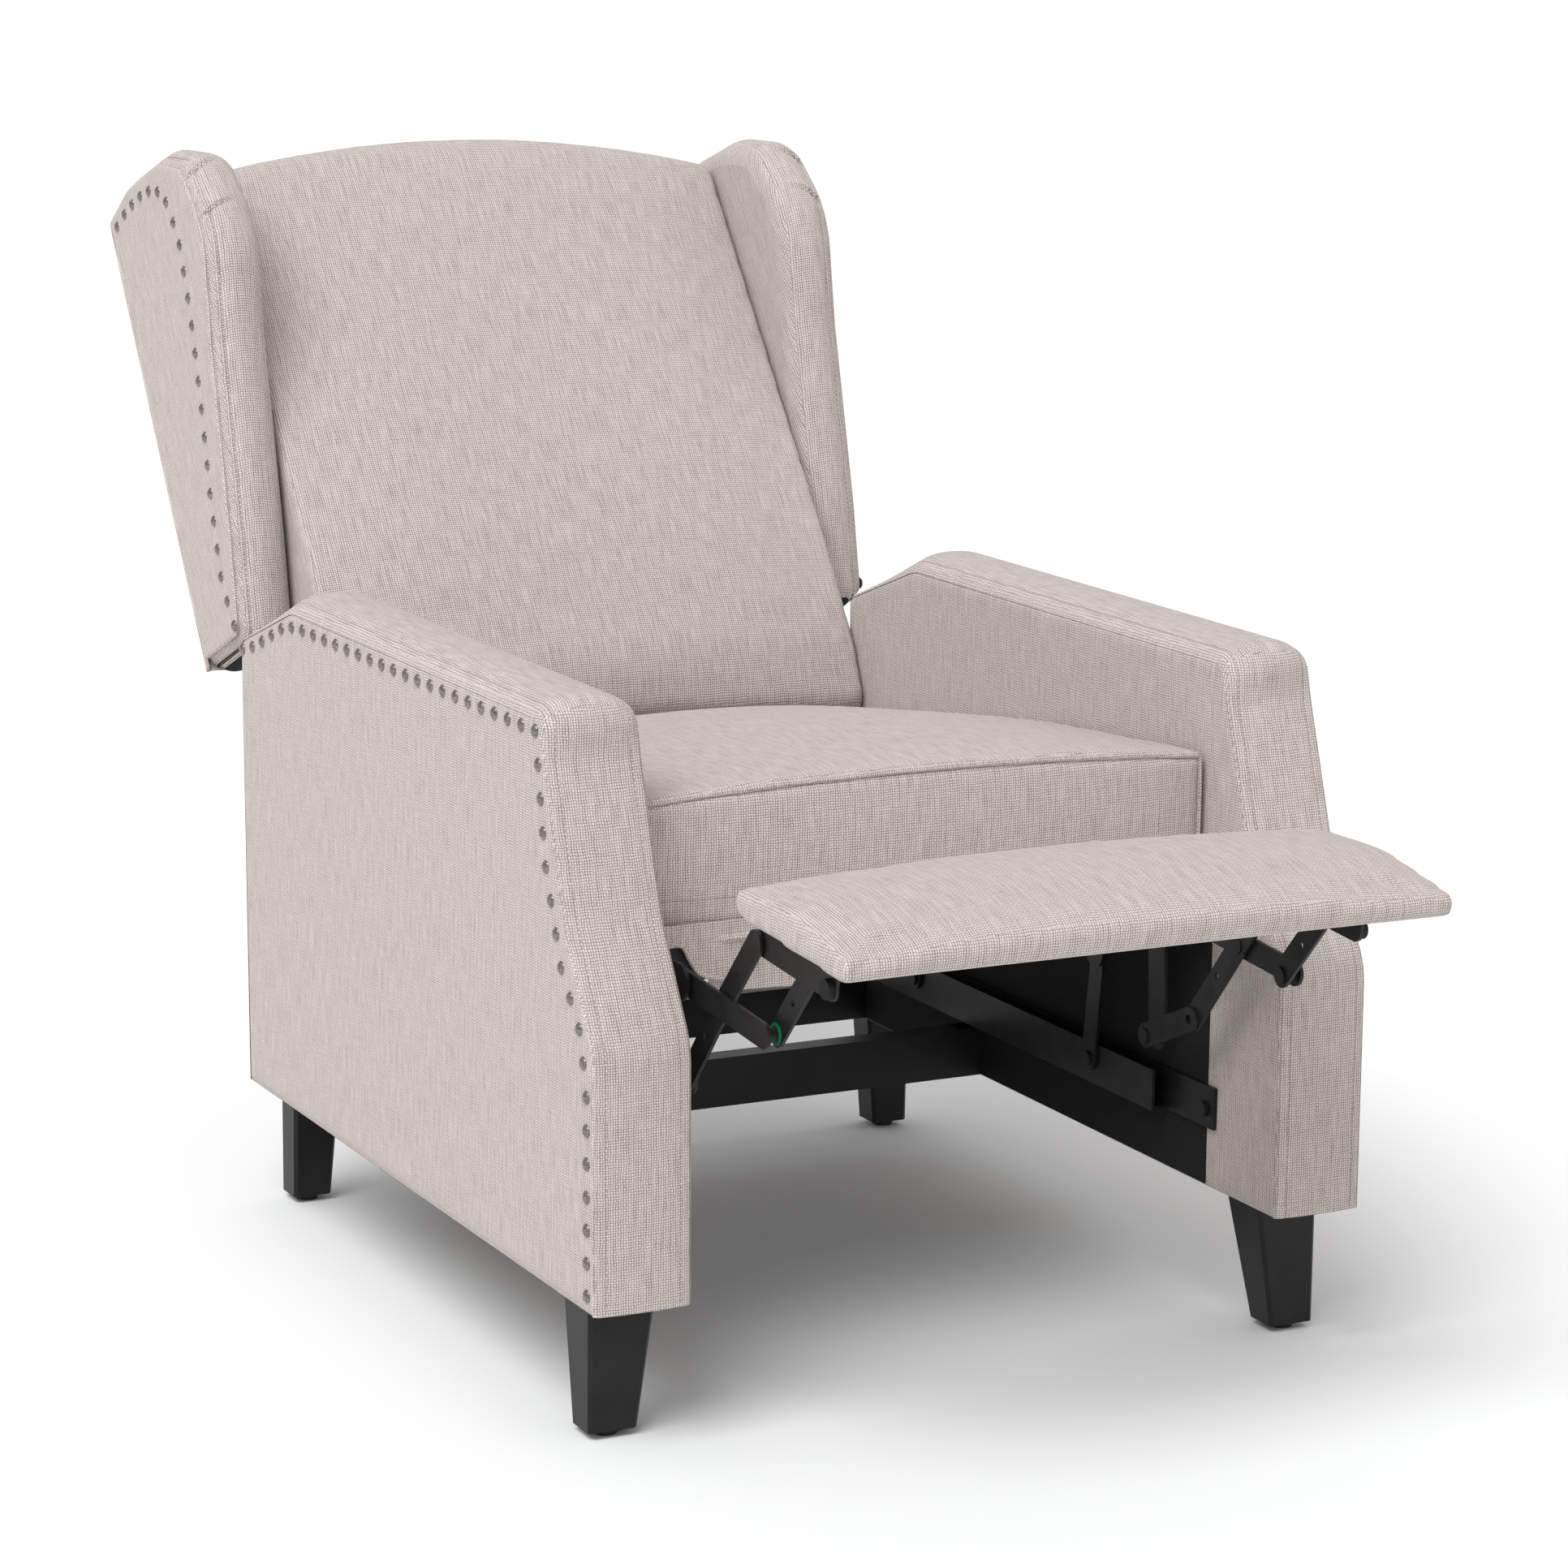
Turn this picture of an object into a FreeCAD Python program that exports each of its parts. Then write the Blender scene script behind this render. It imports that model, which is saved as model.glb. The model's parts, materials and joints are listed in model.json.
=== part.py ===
import FreeCAD, Part
import os
from math import sin, cos, tan, radians

# Wingback push-back recliner, shown with its footrest out and its back leaned back.
# Millimetres. +X is the sitter's left, -Y is the front, +Z is up, and z = 0 is the floor.
# The pieces are made about y = 0 midway between the legs, and moved to the middle at the end.

Vector = FreeCAD.Vector
GAP = 0.3                   # running gap between pieces that move past each other
PIN_FIT = 0.05              # radial clearance of a pivot pin in its hole
BOLT_FIT = 0.1              # radial clearance of a bolt, nail or screw in its hole

# Arms, legs and glides
WIDTH = 700.0               # over the outer faces of the two arms
ARM_THICK = 84.0
ARM_TOP = 582.0             # front top of the arm, on its crown
ARM_REAR = 360.0            # rear face of the arm
ARM_FRONT = -406.0          # front face of the arm near the floor
ARM_CROWN = 15.0            # height of the crown over the arm's two seams
ARM_PAD = 16.0              # padding in front of and above the frame
ARM_REAR_PAD = 5.0          # padding behind the frame
ARM_SIDE_PAD = 9.0          # padding on the outer side of the frame
ARM_INNER_PAD = 4.0         # padding on the inner side of the frame
ARM_MEMBER = 60.0           # width of the frame's timber
LEG_TOP = 115.0             # height of the arm's underside
GLIDE_HEIGHT = 6.0
GLIDE_RADIUS = 9.5
FRONT_GLIDE = (WIDTH / 2 - 36.0, ARM_FRONT + 58.0)
REAR_GLIDE = (WIDTH / 2 - 50.0, ARM_REAR - 13.0)
FRONT_LEG_TOP = (58.0, 52.0)
FRONT_LEG_FOOT = (42.0, 34.0)
REAR_LEG_TOP = (45.0, 36.0)
REAR_LEG_FOOT = (36.0, 33.0)
LEG_CHAMFER = 3.0
LEG_BOLT_RADIUS = 4.0
LEG_BOLT_DEPTH = 32.0       # into the leg, and as far into the frame
LINING_THICK = 1.0
LINING_TOP = 330.0
LINING_FRONT = ARM_FRONT + 106.0
ARM_OUTER = WIDTH / 2
ARM_INNER = ARM_OUTER - ARM_THICK
LINING_FACE = ARM_INNER - LINING_THICK

# Nail heads
NAIL_RADIUS = 5.5
NAIL_DOME = 3.0
NAIL_SHANK = 1.1
NAIL_LENGTH = 9.0
NAIL_PITCH = 26.0

# Cross rails between the arms
RAIL_THICK = 22.0
MID_RAIL_Y = 100.0
MID_RAIL_HEIGHT = 45.0
REAR_RAIL_Y = 330.0
REAR_RAIL_HEIGHT = 38.0
RAIL_BOTTOM = 117.0

# Steel mechanism. Plate planes are stacked from the arm inwards.
STEEL = 3.0
SIDE_CLEAR = 3.0            # seat cushion to arm
SEAT_HALF = ARM_INNER - SIDE_CLEAR
PLATE_FACE = LINING_FACE - 22.0     # outer face of the seat plate
PLANE_GAP = 1.0             # between one moving plate and the next
SWING_GAP = 0.5
PIN_RADIUS = 4.0
HEAD_RADIUS = 6.5
HEAD_THICK = 0.7            # heads that sit in the gap between two plates
SHOULDER = 2.5              # how far the tip pin's shoulder stands out from it
DOME_THICK = 2.0
LINK_HALF = 10.5            # half the width of a link
SPARE_HOLE = 3.0            # radius of the unused holes in the links
WASHER_RADIUS = 9.0
WASHER_THICK = 0.8
BOLT_RADIUS = 3.0
BOLT_HEAD = 6.5
BOLT_HEAD_THICK = 3.5
BOLT_DEPTH = 24.0

BASE_RAIL_FRONT = -240.0
BASE_RAIL_REAR = 262.0
BASE_RAIL_BOTTOM = 168.0
BASE_RAIL_TOP = 204.0
BASE_RAIL_WIDTH = 18.0

SWING_LENGTH = 100.0
SWING_LEAN = 7.2            # degrees forward of upright in the pose shown
SWING_FOOT_Z = 190.0
SWING_FOOT_FRONT = -137.5
SWING_FOOT_REAR = 182.5

# Footrest linkage: pivots, lengths and directions in the pose shown
NOSE = (-329.0, 352.0)      # pivot of the drive link on the seat plate
DRIVE_ANGLE = 184.5
CROSS_ANGLE = 132.5
NOSE_TO_CROSS = 61.0
CROSS_TO_PAD = 82.0
CROSS_TO_TIP = 78.0
CROSS_TO_TAIL = 101.0
TAIL_BEND = -2.2
CONTROL = (-256.5, 240.3)   # pivot of the control link on the seat plate

# Footrest
PAD_HALF = SEAT_HALF - 1.0
PAD_BACK = 12.0             # rear edge of the pad, from the rear bracket pivot
PAD_FRONT = 206.0           # front edge of the pad, from the same pivot
PAD_UNDER = 30.0            # underside above the line of the bracket's pivots
PAD_EDGE = 52.0             # height of its edge above the same line
PAD_CROWN = 20.0
BOARD_THICK = 12.0
BOARD_MARGIN = 16.0
BRACKET_FLANGE = 25.0
BRACKET_START = 14.0        # rear end of the bracket's flange, from its rear pivot
BRACKET_REACH = 118.0
SCREW_PLACES = (35.0, 90.0, 145.0)
SCREW_RADIUS = 2.2
BUMPER_RADIUS = 8.0
BUMPER_THICK = 5.0

# Seat
SEAT_BOTTOM = 386.0
SEAT_FRONT = -284.0         # front face of the cushion at its corners
SEAT_REAR = 306.0
SEAT_FRONT_TOP = 482.0
SEAT_MID_TOP = 463.0
SEAT_REAR_TOP = 424.0
SEAT_CROWN = 30.0
SEAT_BULGE = 14.0
FRAME_DEPTH = 45.0
FRAME_WIDTH = 44.0
FRAME_FRONT = -290.0
FRAME_REAR = 285.0
APRON_HALF = SEAT_HALF - 49.0
APRON_DROP = 51.0
APRON_THICK = 4.0
WIRE_RADIUS = 2.0
SPRING_HALF = 24.0
SPRING_PITCH = 24.0
SEAT_SPRINGS = 4
BACK_SPRINGS = 3
TUBE_RADIUS = 10.0
TUBE_WALL = 1.5
TUBE_Y = -40.0
TUBE_Z = 328.0
PLATE_LINE = 345.0          # height of the seat plate's middle

# Back. Its own axes run up the rear face (rise) and forwards from it (depth).
HINGE = (315.0, 385.0)
BACK_FOOT = (532.5, 463.6)
BACK_LEAN = 33.3            # degrees from upright in the pose shown
BACK_HEIGHT = 487.0
BACK_ARCH = 30.0
BACK_HALF = ARM_INNER - 4.0
BACK_CROWN = 12.0
BACK_LAYER = 170.0          # depth of the cushion's lower face from the rear face
PANEL_THICK = 8.0
POST_WIDTH = 45.0
POST_DEPTH = 40.0
BACK_RAIL = 42.0
WING_OUTER = ARM_OUTER - 26.0
WING_INNER = BACK_HALF + 2.5
WING_REACH = 240.0          # how far the wing stands forward of the rear face
WING_CROWN = 14.0           # height of the wing's crown over its outer seam
WING_BOARD = 18.0
WING_BOARD_INNER = WING_OUTER - 39.0
PANEL_HALF = WING_OUTER - 2.0
CLOTH_THICK = 1.5

CROWN_STATIONS = (-1.0, -0.8, -0.5, 0.0, 0.5, 0.8, 1.0)    # sections across a crowned form
CROWN_POWER = 2.6
SOFT_STATIONS = (-1.0, -0.7, 0.0, 0.7, 1.0)                 # sections across a cushion

nodes = {}


def outline(corners, x):
    """Closed wire in the plane at x. Each corner is (y, z, radius) and is rounded by an arc."""
    stops = []
    for index, here in enumerate(corners):
        before = corners[index - 1]
        after = corners[(index + 1) % len(corners)]
        vertex = Vector(x, here[0], here[1])
        ends = [Vector(x, place[0], place[1]) for place in (before, after)]
        stops.append(corner_arc(ends[0], vertex, ends[1], here[2]))
    return Part.Wire(joined(stops, True))


def corner_arc(before, vertex, after, radius):
    """Start, middle and end of the arc that rounds a corner."""
    if radius == 0:
        return (vertex, None, vertex)
    back = (before - vertex).normalize()
    ahead = (after - vertex).normalize()
    half = back.getAngle(ahead) / 2
    reach = radius / tan(half)
    inward = (back + ahead).normalize()
    middle = vertex + inward * (radius / sin(half) - radius)
    return (vertex + back * reach, middle, vertex + ahead * reach)


def joined(stops, closed):
    """Arcs and the straight edges between them."""
    edges = []
    for index, stop in enumerate(stops):
        start, middle, end = stop
        if middle is not None:
            edges.append(Part.Arc(start, middle, end).toShape())
        last = index == len(stops) - 1
        if last and not closed:
            break
        following = stops[(index + 1) % len(stops)][0]
        edges.append(Part.LineSegment(end, following).toShape())
    return edges


def slab(corners, x_from, x_to):
    """Flat piece with the given outline, between two planes."""
    return Part.Face(outline(corners, x_from)).extrude(Vector(x_to - x_from, 0, 0))


def disc(point, radius, x_from, x_to):
    """Round pin or hole along X, centred on a (y, z) point."""
    low = min(x_from, x_to)
    start = Vector(low, point[0], point[1])
    return Part.makeCylinder(radius, abs(x_to - x_from), start, Vector(1, 0, 0))


def strap(points, half, x_from, x_to):
    """Flat bar with round ends that runs from point to point."""
    whole = None
    for first, second in zip(points, points[1:]):
        start = Vector(x_from, first[0], first[1])
        end = Vector(x_from, second[0], second[1])
        along = (end - start).normalize()
        across = Vector(0, -along.z, along.y) * half
        along = along * half
        edges = [Part.LineSegment(start + across, end + across).toShape(),
                 Part.Arc(end + across, end + along, end - across).toShape(),
                 Part.LineSegment(end - across, start - across).toShape(),
                 Part.Arc(start - across, start - along, start + across).toShape()]
        piece = Part.Face(Part.Wire(edges)).extrude(Vector(x_to - x_from, 0, 0))
        whole = piece if whole is None else whole.fuse(piece)
    return whole.removeSplitter()


def loft(wires):
    return Part.makeLoft(wires, True, False)


def tube(points, radius, bend):
    """Round wire along straight runs joined by tangent arcs."""
    stops = [(points[0], None, points[0])]
    for before, vertex, after in zip(points, points[1:], points[2:]):
        stops.append(corner_arc(before, vertex, after, bend))
    stops.append((points[-1], None, points[-1]))
    ring = Part.Circle(points[0], points[1] - points[0], radius).toShape()
    return Part.Wire(joined(stops, False)).makePipeShell([Part.Wire([ring])], True, False)


def mirrored(shape):
    return shape.mirror(Vector(0, 0, 0), Vector(1, 0, 0))


def keep(name, *solids):
    nodes[name] = list(solids)


def keep_pair(name, *solids):
    """The piece on the sitter's left, and its mirror image on the right."""
    keep(name + "_left", *solids)
    keep(name + "_right", *[mirrored(solid) for solid in solids])


def on_both_sides(solids):
    return list(solids) + [mirrored(solid) for solid in solids]


def polar(origin, length, angle):
    return (origin[0] + length * cos(radians(angle)), origin[1] + length * sin(radians(angle)))


def walk(points, pitch):
    """Evenly spaced points along a line through the given ones."""
    lengths = [((b[0] - a[0]) ** 2 + (b[1] - a[1]) ** 2) ** 0.5 for a, b in zip(points, points[1:])]
    total = sum(lengths)
    count = round(total / pitch)
    places = []
    for step in range(count + 1):
        left = total * step / count
        leg = 0
        while leg < len(lengths) - 1 and left > lengths[leg]:
            left -= lengths[leg]
            leg += 1
        share = left / lengths[leg]
        a, b = points[leg], points[leg + 1]
        places.append((a[0] + (b[0] - a[0]) * share, a[1] + (b[1] - a[1]) * share))
    return places


def nail(point, face):
    """Domed head on the outer face at x = face, with its shank going in."""
    sphere_radius = (NAIL_RADIUS ** 2 + NAIL_DOME ** 2) / (2 * NAIL_DOME)
    centre = Vector(face + NAIL_DOME - sphere_radius, point[0], point[1])
    ball = Part.makeSphere(sphere_radius, centre)
    dome = ball.common(disc(point, NAIL_RADIUS * 2, face, face + NAIL_DOME * 2))
    return dome.fuse(disc(point, NAIL_SHANK, face - NAIL_LENGTH, face))


def nail_hole(point, face):
    return disc(point, NAIL_SHANK + BOLT_FIT, face - NAIL_LENGTH - BOLT_FIT, face + 1)


def arm_corners(inset, rear_inset):
    """Side outline of the arm, drawn in by the padding where that is asked for."""
    return [(ARM_REAR - rear_inset, LEG_TOP, 0),
            (ARM_REAR + 8 - rear_inset, ARM_TOP - 54 - inset, 16),
            (ARM_REAR - 123, ARM_TOP - inset, 60),
            (ARM_FRONT + 101 + inset * 0.7, ARM_TOP - inset, 22),
            (ARM_FRONT + 95 + inset, ARM_TOP - 52 - inset * 0.5, 60),
            (ARM_FRONT + 56 + inset, ARM_TOP - 170, 150),
            (ARM_FRONT + 2 + inset, ARM_TOP - 260, 60),
            (ARM_FRONT + inset, LEG_TOP, 0)]


ARM_NAIL_TOP = [(ARM_REAR + 1, ARM_TOP - 68), (ARM_REAR - 30, ARM_TOP - 61),
                (ARM_REAR - 106, ARM_TOP - 32), (ARM_REAR - 135, ARM_TOP - 28),
                (ARM_FRONT + 111, ARM_TOP - 28.5)]
ARM_NAIL_FRONT = [(ARM_FRONT + 105, ARM_TOP - 54), (ARM_FRONT + 91, ARM_TOP - 129),
                  (ARM_FRONT + 61, ARM_TOP - 204), (ARM_FRONT + 25, ARM_TOP - 248),
                  (ARM_FRONT + 14, ARM_TOP - 294), (ARM_FRONT + 13, LEG_TOP + 14)]


def leg(glide, top, foot):
    """Tapered leg: its outer and end faces stay upright, and the other two draw in."""
    away = 1 if glide[1] > 0 else -1
    x_out = glide[0] + foot[0] / 2
    y_out = glide[1] + away * foot[1] / 2
    rings = []
    for size, z in ((foot, GLIDE_HEIGHT), (top, LEG_TOP)):
        x_in = x_out - size[0]
        y_in = y_out - away * size[1]
        cut = LEG_CHAMFER
        low, high = min(y_in, y_out), max(y_in, y_out)
        points = [(x_in + cut, low), (x_out - cut, low),
                  (x_out, low + cut), (x_out, high - cut),
                  (x_out - cut, high), (x_in + cut, high),
                  (x_in, high - cut), (x_in, low + cut)]
        points.append(points[0])
        rings.append(Part.makePolygon([Vector(x, y, z) for x, y in points]))
    return Part.makeLoft(rings, True, True)


def leg_bolt(glide, top, foot, extra):
    """Upright bolt that joins the middle of a leg's top to the frame above it."""
    away = 1 if glide[1] > 0 else -1
    x = glide[0] + foot[0] / 2 - top[0] / 2
    y = glide[1] + away * (foot[1] / 2 - top[1] / 2)
    low = Vector(x, y, LEG_TOP - LEG_BOLT_DEPTH - extra)
    return Part.makeCylinder(LEG_BOLT_RADIUS + extra, 2 * (LEG_BOLT_DEPTH + extra), low)


def arms_and_legs():
    frame_inner = ARM_INNER + ARM_INNER_PAD
    frame_outer = ARM_OUTER - ARM_SIDE_PAD
    middle = (ARM_OUTER + ARM_INNER) / 2
    wires = []
    for share in CROWN_STATIONS:
        inset = ARM_CROWN * abs(share) ** CROWN_POWER
        wires.append(outline(arm_corners(inset, inset * 0.4), middle + share * ARM_THICK / 2))
    body = loft(wires)
    frame = slab(arm_corners(ARM_PAD, ARM_REAR_PAD), frame_inner, frame_outer)
    cover = body.cut(frame)
    window = slab(frame_window(), frame_inner - 1, frame_outer + 1)
    frame = frame.cut(window)
    bolts = []
    for glide, top, foot, name in ((FRONT_GLIDE, FRONT_LEG_TOP, FRONT_LEG_FOOT, "leg_front"),
                                   (REAR_GLIDE, REAR_LEG_TOP, REAR_LEG_FOOT, "leg_rear")):
        hole = leg_bolt(glide, top, foot, BOLT_FIT)
        frame = frame.cut(hole)
        keep_pair(name, leg(glide, top, foot).cut(hole))
        bolts.append(leg_bolt(glide, top, foot, 0))
    places = walk(ARM_NAIL_TOP, NAIL_PITCH) + walk(ARM_NAIL_FRONT, NAIL_PITCH)
    holes = Part.makeCompound([nail_hole(place, ARM_OUTER) for place in places])
    lining = slab([(ARM_REAR - 5, RAIL_BOTTOM, 0), (ARM_REAR - 5, LINING_TOP, 0),
                   (LINING_FRONT, LINING_TOP, 0), (LINING_FRONT, RAIL_BOTTOM, 0)], LINING_FACE, ARM_INNER)
    rail_bolts = []
    for place in base_bolt_places():
        under_head = LINING_FACE - STEEL
        hole = disc(place, BOLT_RADIUS + BOLT_FIT, under_head - 1, LINING_FACE + BOLT_DEPTH + 1)
        frame = frame.cut(hole)
        cover = cover.cut(hole)
        lining = lining.cut(hole)
        head = disc(place, BOLT_HEAD, under_head - BOLT_HEAD_THICK, under_head)
        rail_bolts.append(disc(place, BOLT_RADIUS, under_head, LINING_FACE + BOLT_DEPTH).fuse(head))
    keep_pair("arm_frame", frame)
    keep_pair("arm_upholstery", cover.cut(holes).cut(frame))
    keep_pair("arm_lining", lining)
    keep("arm_nails", *on_both_sides([nail(place, ARM_OUTER) for place in places]))
    keep("leg_bolts", *on_both_sides(bolts))
    glides = [Part.makeCylinder(GLIDE_RADIUS, GLIDE_HEIGHT, Vector(place[0], place[1], 0))
              for place in (FRONT_GLIDE, REAR_GLIDE)]
    keep("leg_glides", *on_both_sides(glides))
    keep("base_rail_bolts", *on_both_sides(rail_bolts))
    for name, y, height in (("mid_cross_rail", MID_RAIL_Y, MID_RAIL_HEIGHT),
                            ("rear_cross_rail", REAR_RAIL_Y, REAR_RAIL_HEIGHT)):
        start = Vector(-LINING_FACE, y - RAIL_THICK / 2, RAIL_BOTTOM)
        keep(name, Part.makeBox(2 * LINING_FACE, RAIL_THICK, height, start))


def frame_window():
    """Opening inside the timber of the arm frame."""
    inner = ARM_PAD + ARM_MEMBER
    return [(ARM_REAR - inner, LEG_TOP + ARM_MEMBER, 5),
            (ARM_REAR - inner, ARM_TOP - 54 - inner, 5),
            (ARM_REAR - 123, ARM_TOP - inner, 5),
            (ARM_FRONT + 101 + inner, ARM_TOP - inner, 5),
            (ARM_FRONT + 56 + inner, ARM_TOP - 170, 20),
            (ARM_FRONT + 2 + inner, ARM_TOP - 260, 20),
            (ARM_FRONT + inner, LEG_TOP + ARM_MEMBER, 5)]


def base_bolt_places():
    height = BASE_RAIL_BOTTOM + STEEL + BOLT_HEAD + 6
    return [(BASE_RAIL_FRONT - 60, height), (BASE_RAIL_REAR + 40, height)]


# Planes of the plates, from the arm inwards
RAIL_OUT = LINING_FACE
RAIL_IN = RAIL_OUT - BASE_RAIL_WIDTH
SWING_OUT = PLATE_FACE + SWING_GAP + STEEL
PLATE_IN = PLATE_FACE - STEEL
DRIVE_OUT = PLATE_IN - PLANE_GAP
CROSS_OUT = DRIVE_OUT - STEEL - PLANE_GAP
BRACKET_OUT = CROSS_OUT - STEEL - PLANE_GAP
TIP_OUT = BRACKET_OUT - STEEL - PLANE_GAP


def swing_head(foot_y):
    return polar((foot_y, SWING_FOOT_Z), SWING_LENGTH, 90 + SWING_LEAN)


def linkage():
    """Pivots of the footrest linkage in the pose shown."""
    cross = polar(NOSE, NOSE_TO_CROSS, DRIVE_ANGLE)
    tip = polar(cross, CROSS_TO_TIP, DRIVE_ANGLE)
    pad_rear = polar(cross, CROSS_TO_PAD, CROSS_ANGLE)
    pad_front = polar(tip, CROSS_TO_PAD, CROSS_ANGLE)
    tail = polar(cross, CROSS_TO_TAIL, CROSS_ANGLE + 180 + TAIL_BEND)
    return cross, tip, pad_rear, pad_front, tail


def hole(shape, point, extra=0.0):
    return shape.cut(disc(point, PIN_RADIUS + PIN_FIT + extra, 0, WIDTH / 2))


def base_rails():
    """Steel channel along each arm that carries the swing links."""
    inner = Part.makeBox(STEEL, BASE_RAIL_REAR - BASE_RAIL_FRONT, BASE_RAIL_TOP - BASE_RAIL_BOTTOM,
                         Vector(RAIL_IN, BASE_RAIL_FRONT, BASE_RAIL_BOTTOM))
    floor = Part.makeBox(BASE_RAIL_WIDTH, BASE_RAIL_REAR - BASE_RAIL_FRONT, STEEL,
                         Vector(RAIL_IN, BASE_RAIL_FRONT, BASE_RAIL_BOTTOM))
    ends = base_bolt_places()
    low = ends[0][0] - 15
    web = Part.makeBox(STEEL, ends[1][0] + 15 - low, BASE_RAIL_TOP - BASE_RAIL_BOTTOM,
                       Vector(RAIL_OUT - STEEL, low, BASE_RAIL_BOTTOM))
    rail = inner.fuse(floor).fuse(web).removeSplitter()
    for place in ends:
        rail = rail.cut(disc(place, BOLT_RADIUS + BOLT_FIT, RAIL_OUT - STEEL - 1, RAIL_OUT + 1))
    for foot_y in (SWING_FOOT_FRONT, SWING_FOOT_REAR):
        foot = (foot_y, SWING_FOOT_Z)
        pin_end = SWING_OUT - STEEL - SWING_GAP
        pin = disc(foot, PIN_RADIUS, pin_end, RAIL_IN)
        head = disc(foot, HEAD_RADIUS, pin_end - DOME_THICK, SWING_OUT - STEEL - GAP)
        rail = rail.fuse(pin).fuse(head)
    keep_pair("base_rail", rail.removeSplitter())
    for name, foot_y in (("swing_link_front", SWING_FOOT_FRONT), ("swing_link_rear", SWING_FOOT_REAR)):
        foot = (foot_y, SWING_FOOT_Z)
        head = swing_head(foot_y)
        bar = strap([foot, head], LINK_HALF, SWING_OUT - STEEL, SWING_OUT)
        keep_pair(name, hole(hole(bar, foot), head))


def plate_bolt_places():
    height = PLATE_LINE + 6
    return [(FRAME_FRONT + 35, height), (TUBE_Y + 60, height), (FRAME_REAR - 60, height)]


def seat_plates():
    """Side plate of the mechanism, with the pins that it carries."""
    heads = [swing_head(SWING_FOOT_FRONT), swing_head(SWING_FOOT_REAR)]
    line = [NOSE, (NOSE[0] + 79, PLATE_LINE), (HINGE[0] - 25, PLATE_LINE), HINGE]
    plate = strap(line, 15.0, PLATE_IN, PLATE_FACE)
    plate = plate.fuse(strap([(CONTROL[0] + 6, PLATE_LINE), CONTROL], 13.0, PLATE_IN, PLATE_FACE))
    for head in heads:
        plate = plate.fuse(strap([(head[0], PLATE_LINE), head], 14.0, PLATE_IN, PLATE_FACE))
    plate = plate.fuse(strap([(TUBE_Y, PLATE_LINE), (TUBE_Y, TUBE_Z)], 15.0, PLATE_IN, PLATE_FACE))
    plate = plate.removeSplitter()
    for place in plate_bolt_places():
        plate = plate.cut(disc(place, BOLT_RADIUS + BOLT_FIT, PLATE_IN - 1, PLATE_FACE + 1))
    plate = hole(plate, HINGE)
    for head in heads:
        plate = plate.fuse(disc(head, PIN_RADIUS, PLATE_FACE, SWING_OUT + GAP))
        plate = plate.fuse(disc(head, HEAD_RADIUS, SWING_OUT + GAP, SWING_OUT + DOME_THICK))
    pin_end = DRIVE_OUT - STEEL - GAP / 2
    plate = plate.fuse(disc(NOSE, PIN_RADIUS, pin_end, PLATE_IN))
    plate = plate.fuse(disc(NOSE, HEAD_RADIUS - 0.5, pin_end - HEAD_THICK, pin_end))
    pin_end = BRACKET_OUT - STEEL - GAP
    plate = plate.fuse(disc(CONTROL, PIN_RADIUS, pin_end, PLATE_IN))
    plate = plate.fuse(disc(CONTROL, PIN_RADIUS + 3, BRACKET_OUT + GAP, PLATE_IN))
    plate = plate.fuse(disc(CONTROL, HEAD_RADIUS, pin_end - DOME_THICK, pin_end))
    keep_pair("seat_plate", plate.removeSplitter())
    middle = (TUBE_Y, TUBE_Z)
    bore = disc(middle, TUBE_RADIUS - TUBE_WALL, -PLATE_IN, PLATE_IN)
    keep("seat_cross_tube", disc(middle, TUBE_RADIUS, -PLATE_IN, PLATE_IN).cut(bore))


def seat_frame():
    top = SEAT_BOTTOM
    low = top - FRAME_DEPTH
    length = FRAME_REAR - FRAME_FRONT
    inside = PLATE_IN - FRAME_WIDTH
    side = Part.makeBox(FRAME_WIDTH, length, FRAME_DEPTH, Vector(inside, FRAME_FRONT, low))
    bolts = []
    for place in plate_bolt_places():
        side = side.cut(disc(place, BOLT_RADIUS + BOLT_FIT, PLATE_IN - BOLT_DEPTH - 1, PLATE_IN + 1))
        head = disc(place, BOLT_HEAD, PLATE_FACE, PLATE_FACE + BOLT_HEAD_THICK)
        bolts.append(disc(place, BOLT_RADIUS, PLATE_IN - BOLT_DEPTH, PLATE_FACE).fuse(head))
    front = Part.makeBox(2 * inside, FRAME_WIDTH, FRAME_DEPTH, Vector(-inside, FRAME_FRONT, low))
    rear_start = Vector(-inside, FRAME_REAR - FRAME_WIDTH, low)
    rear = Part.makeBox(2 * inside, FRAME_WIDTH, FRAME_DEPTH, rear_start)
    tube_groove = disc((TUBE_Y, TUBE_Z), TUBE_RADIUS + GAP, -WIDTH, WIDTH)
    keep("seat_frame", side.cut(tube_groove), mirrored(side).cut(tube_groove), front, rear)
    keep("seat_plate_bolts", *on_both_sides(bolts))
    height = top - WIRE_RADIUS - 4
    start, end = FRAME_FRONT + FRAME_WIDTH, FRAME_REAR - FRAME_WIDTH
    springs = [zigzag(x, start, end, lambda along: height, lambda along: along)
               for x in spring_places(SEAT_SPRINGS, inside)]
    keep("seat_springs", *springs)


def spring_places(count, half):
    """Evenly spaced middles of springs across a frame that is open from -half to half."""
    pitch = 2 * half / count
    return [(index - (count - 1) / 2) * pitch for index in range(count)]


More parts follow.
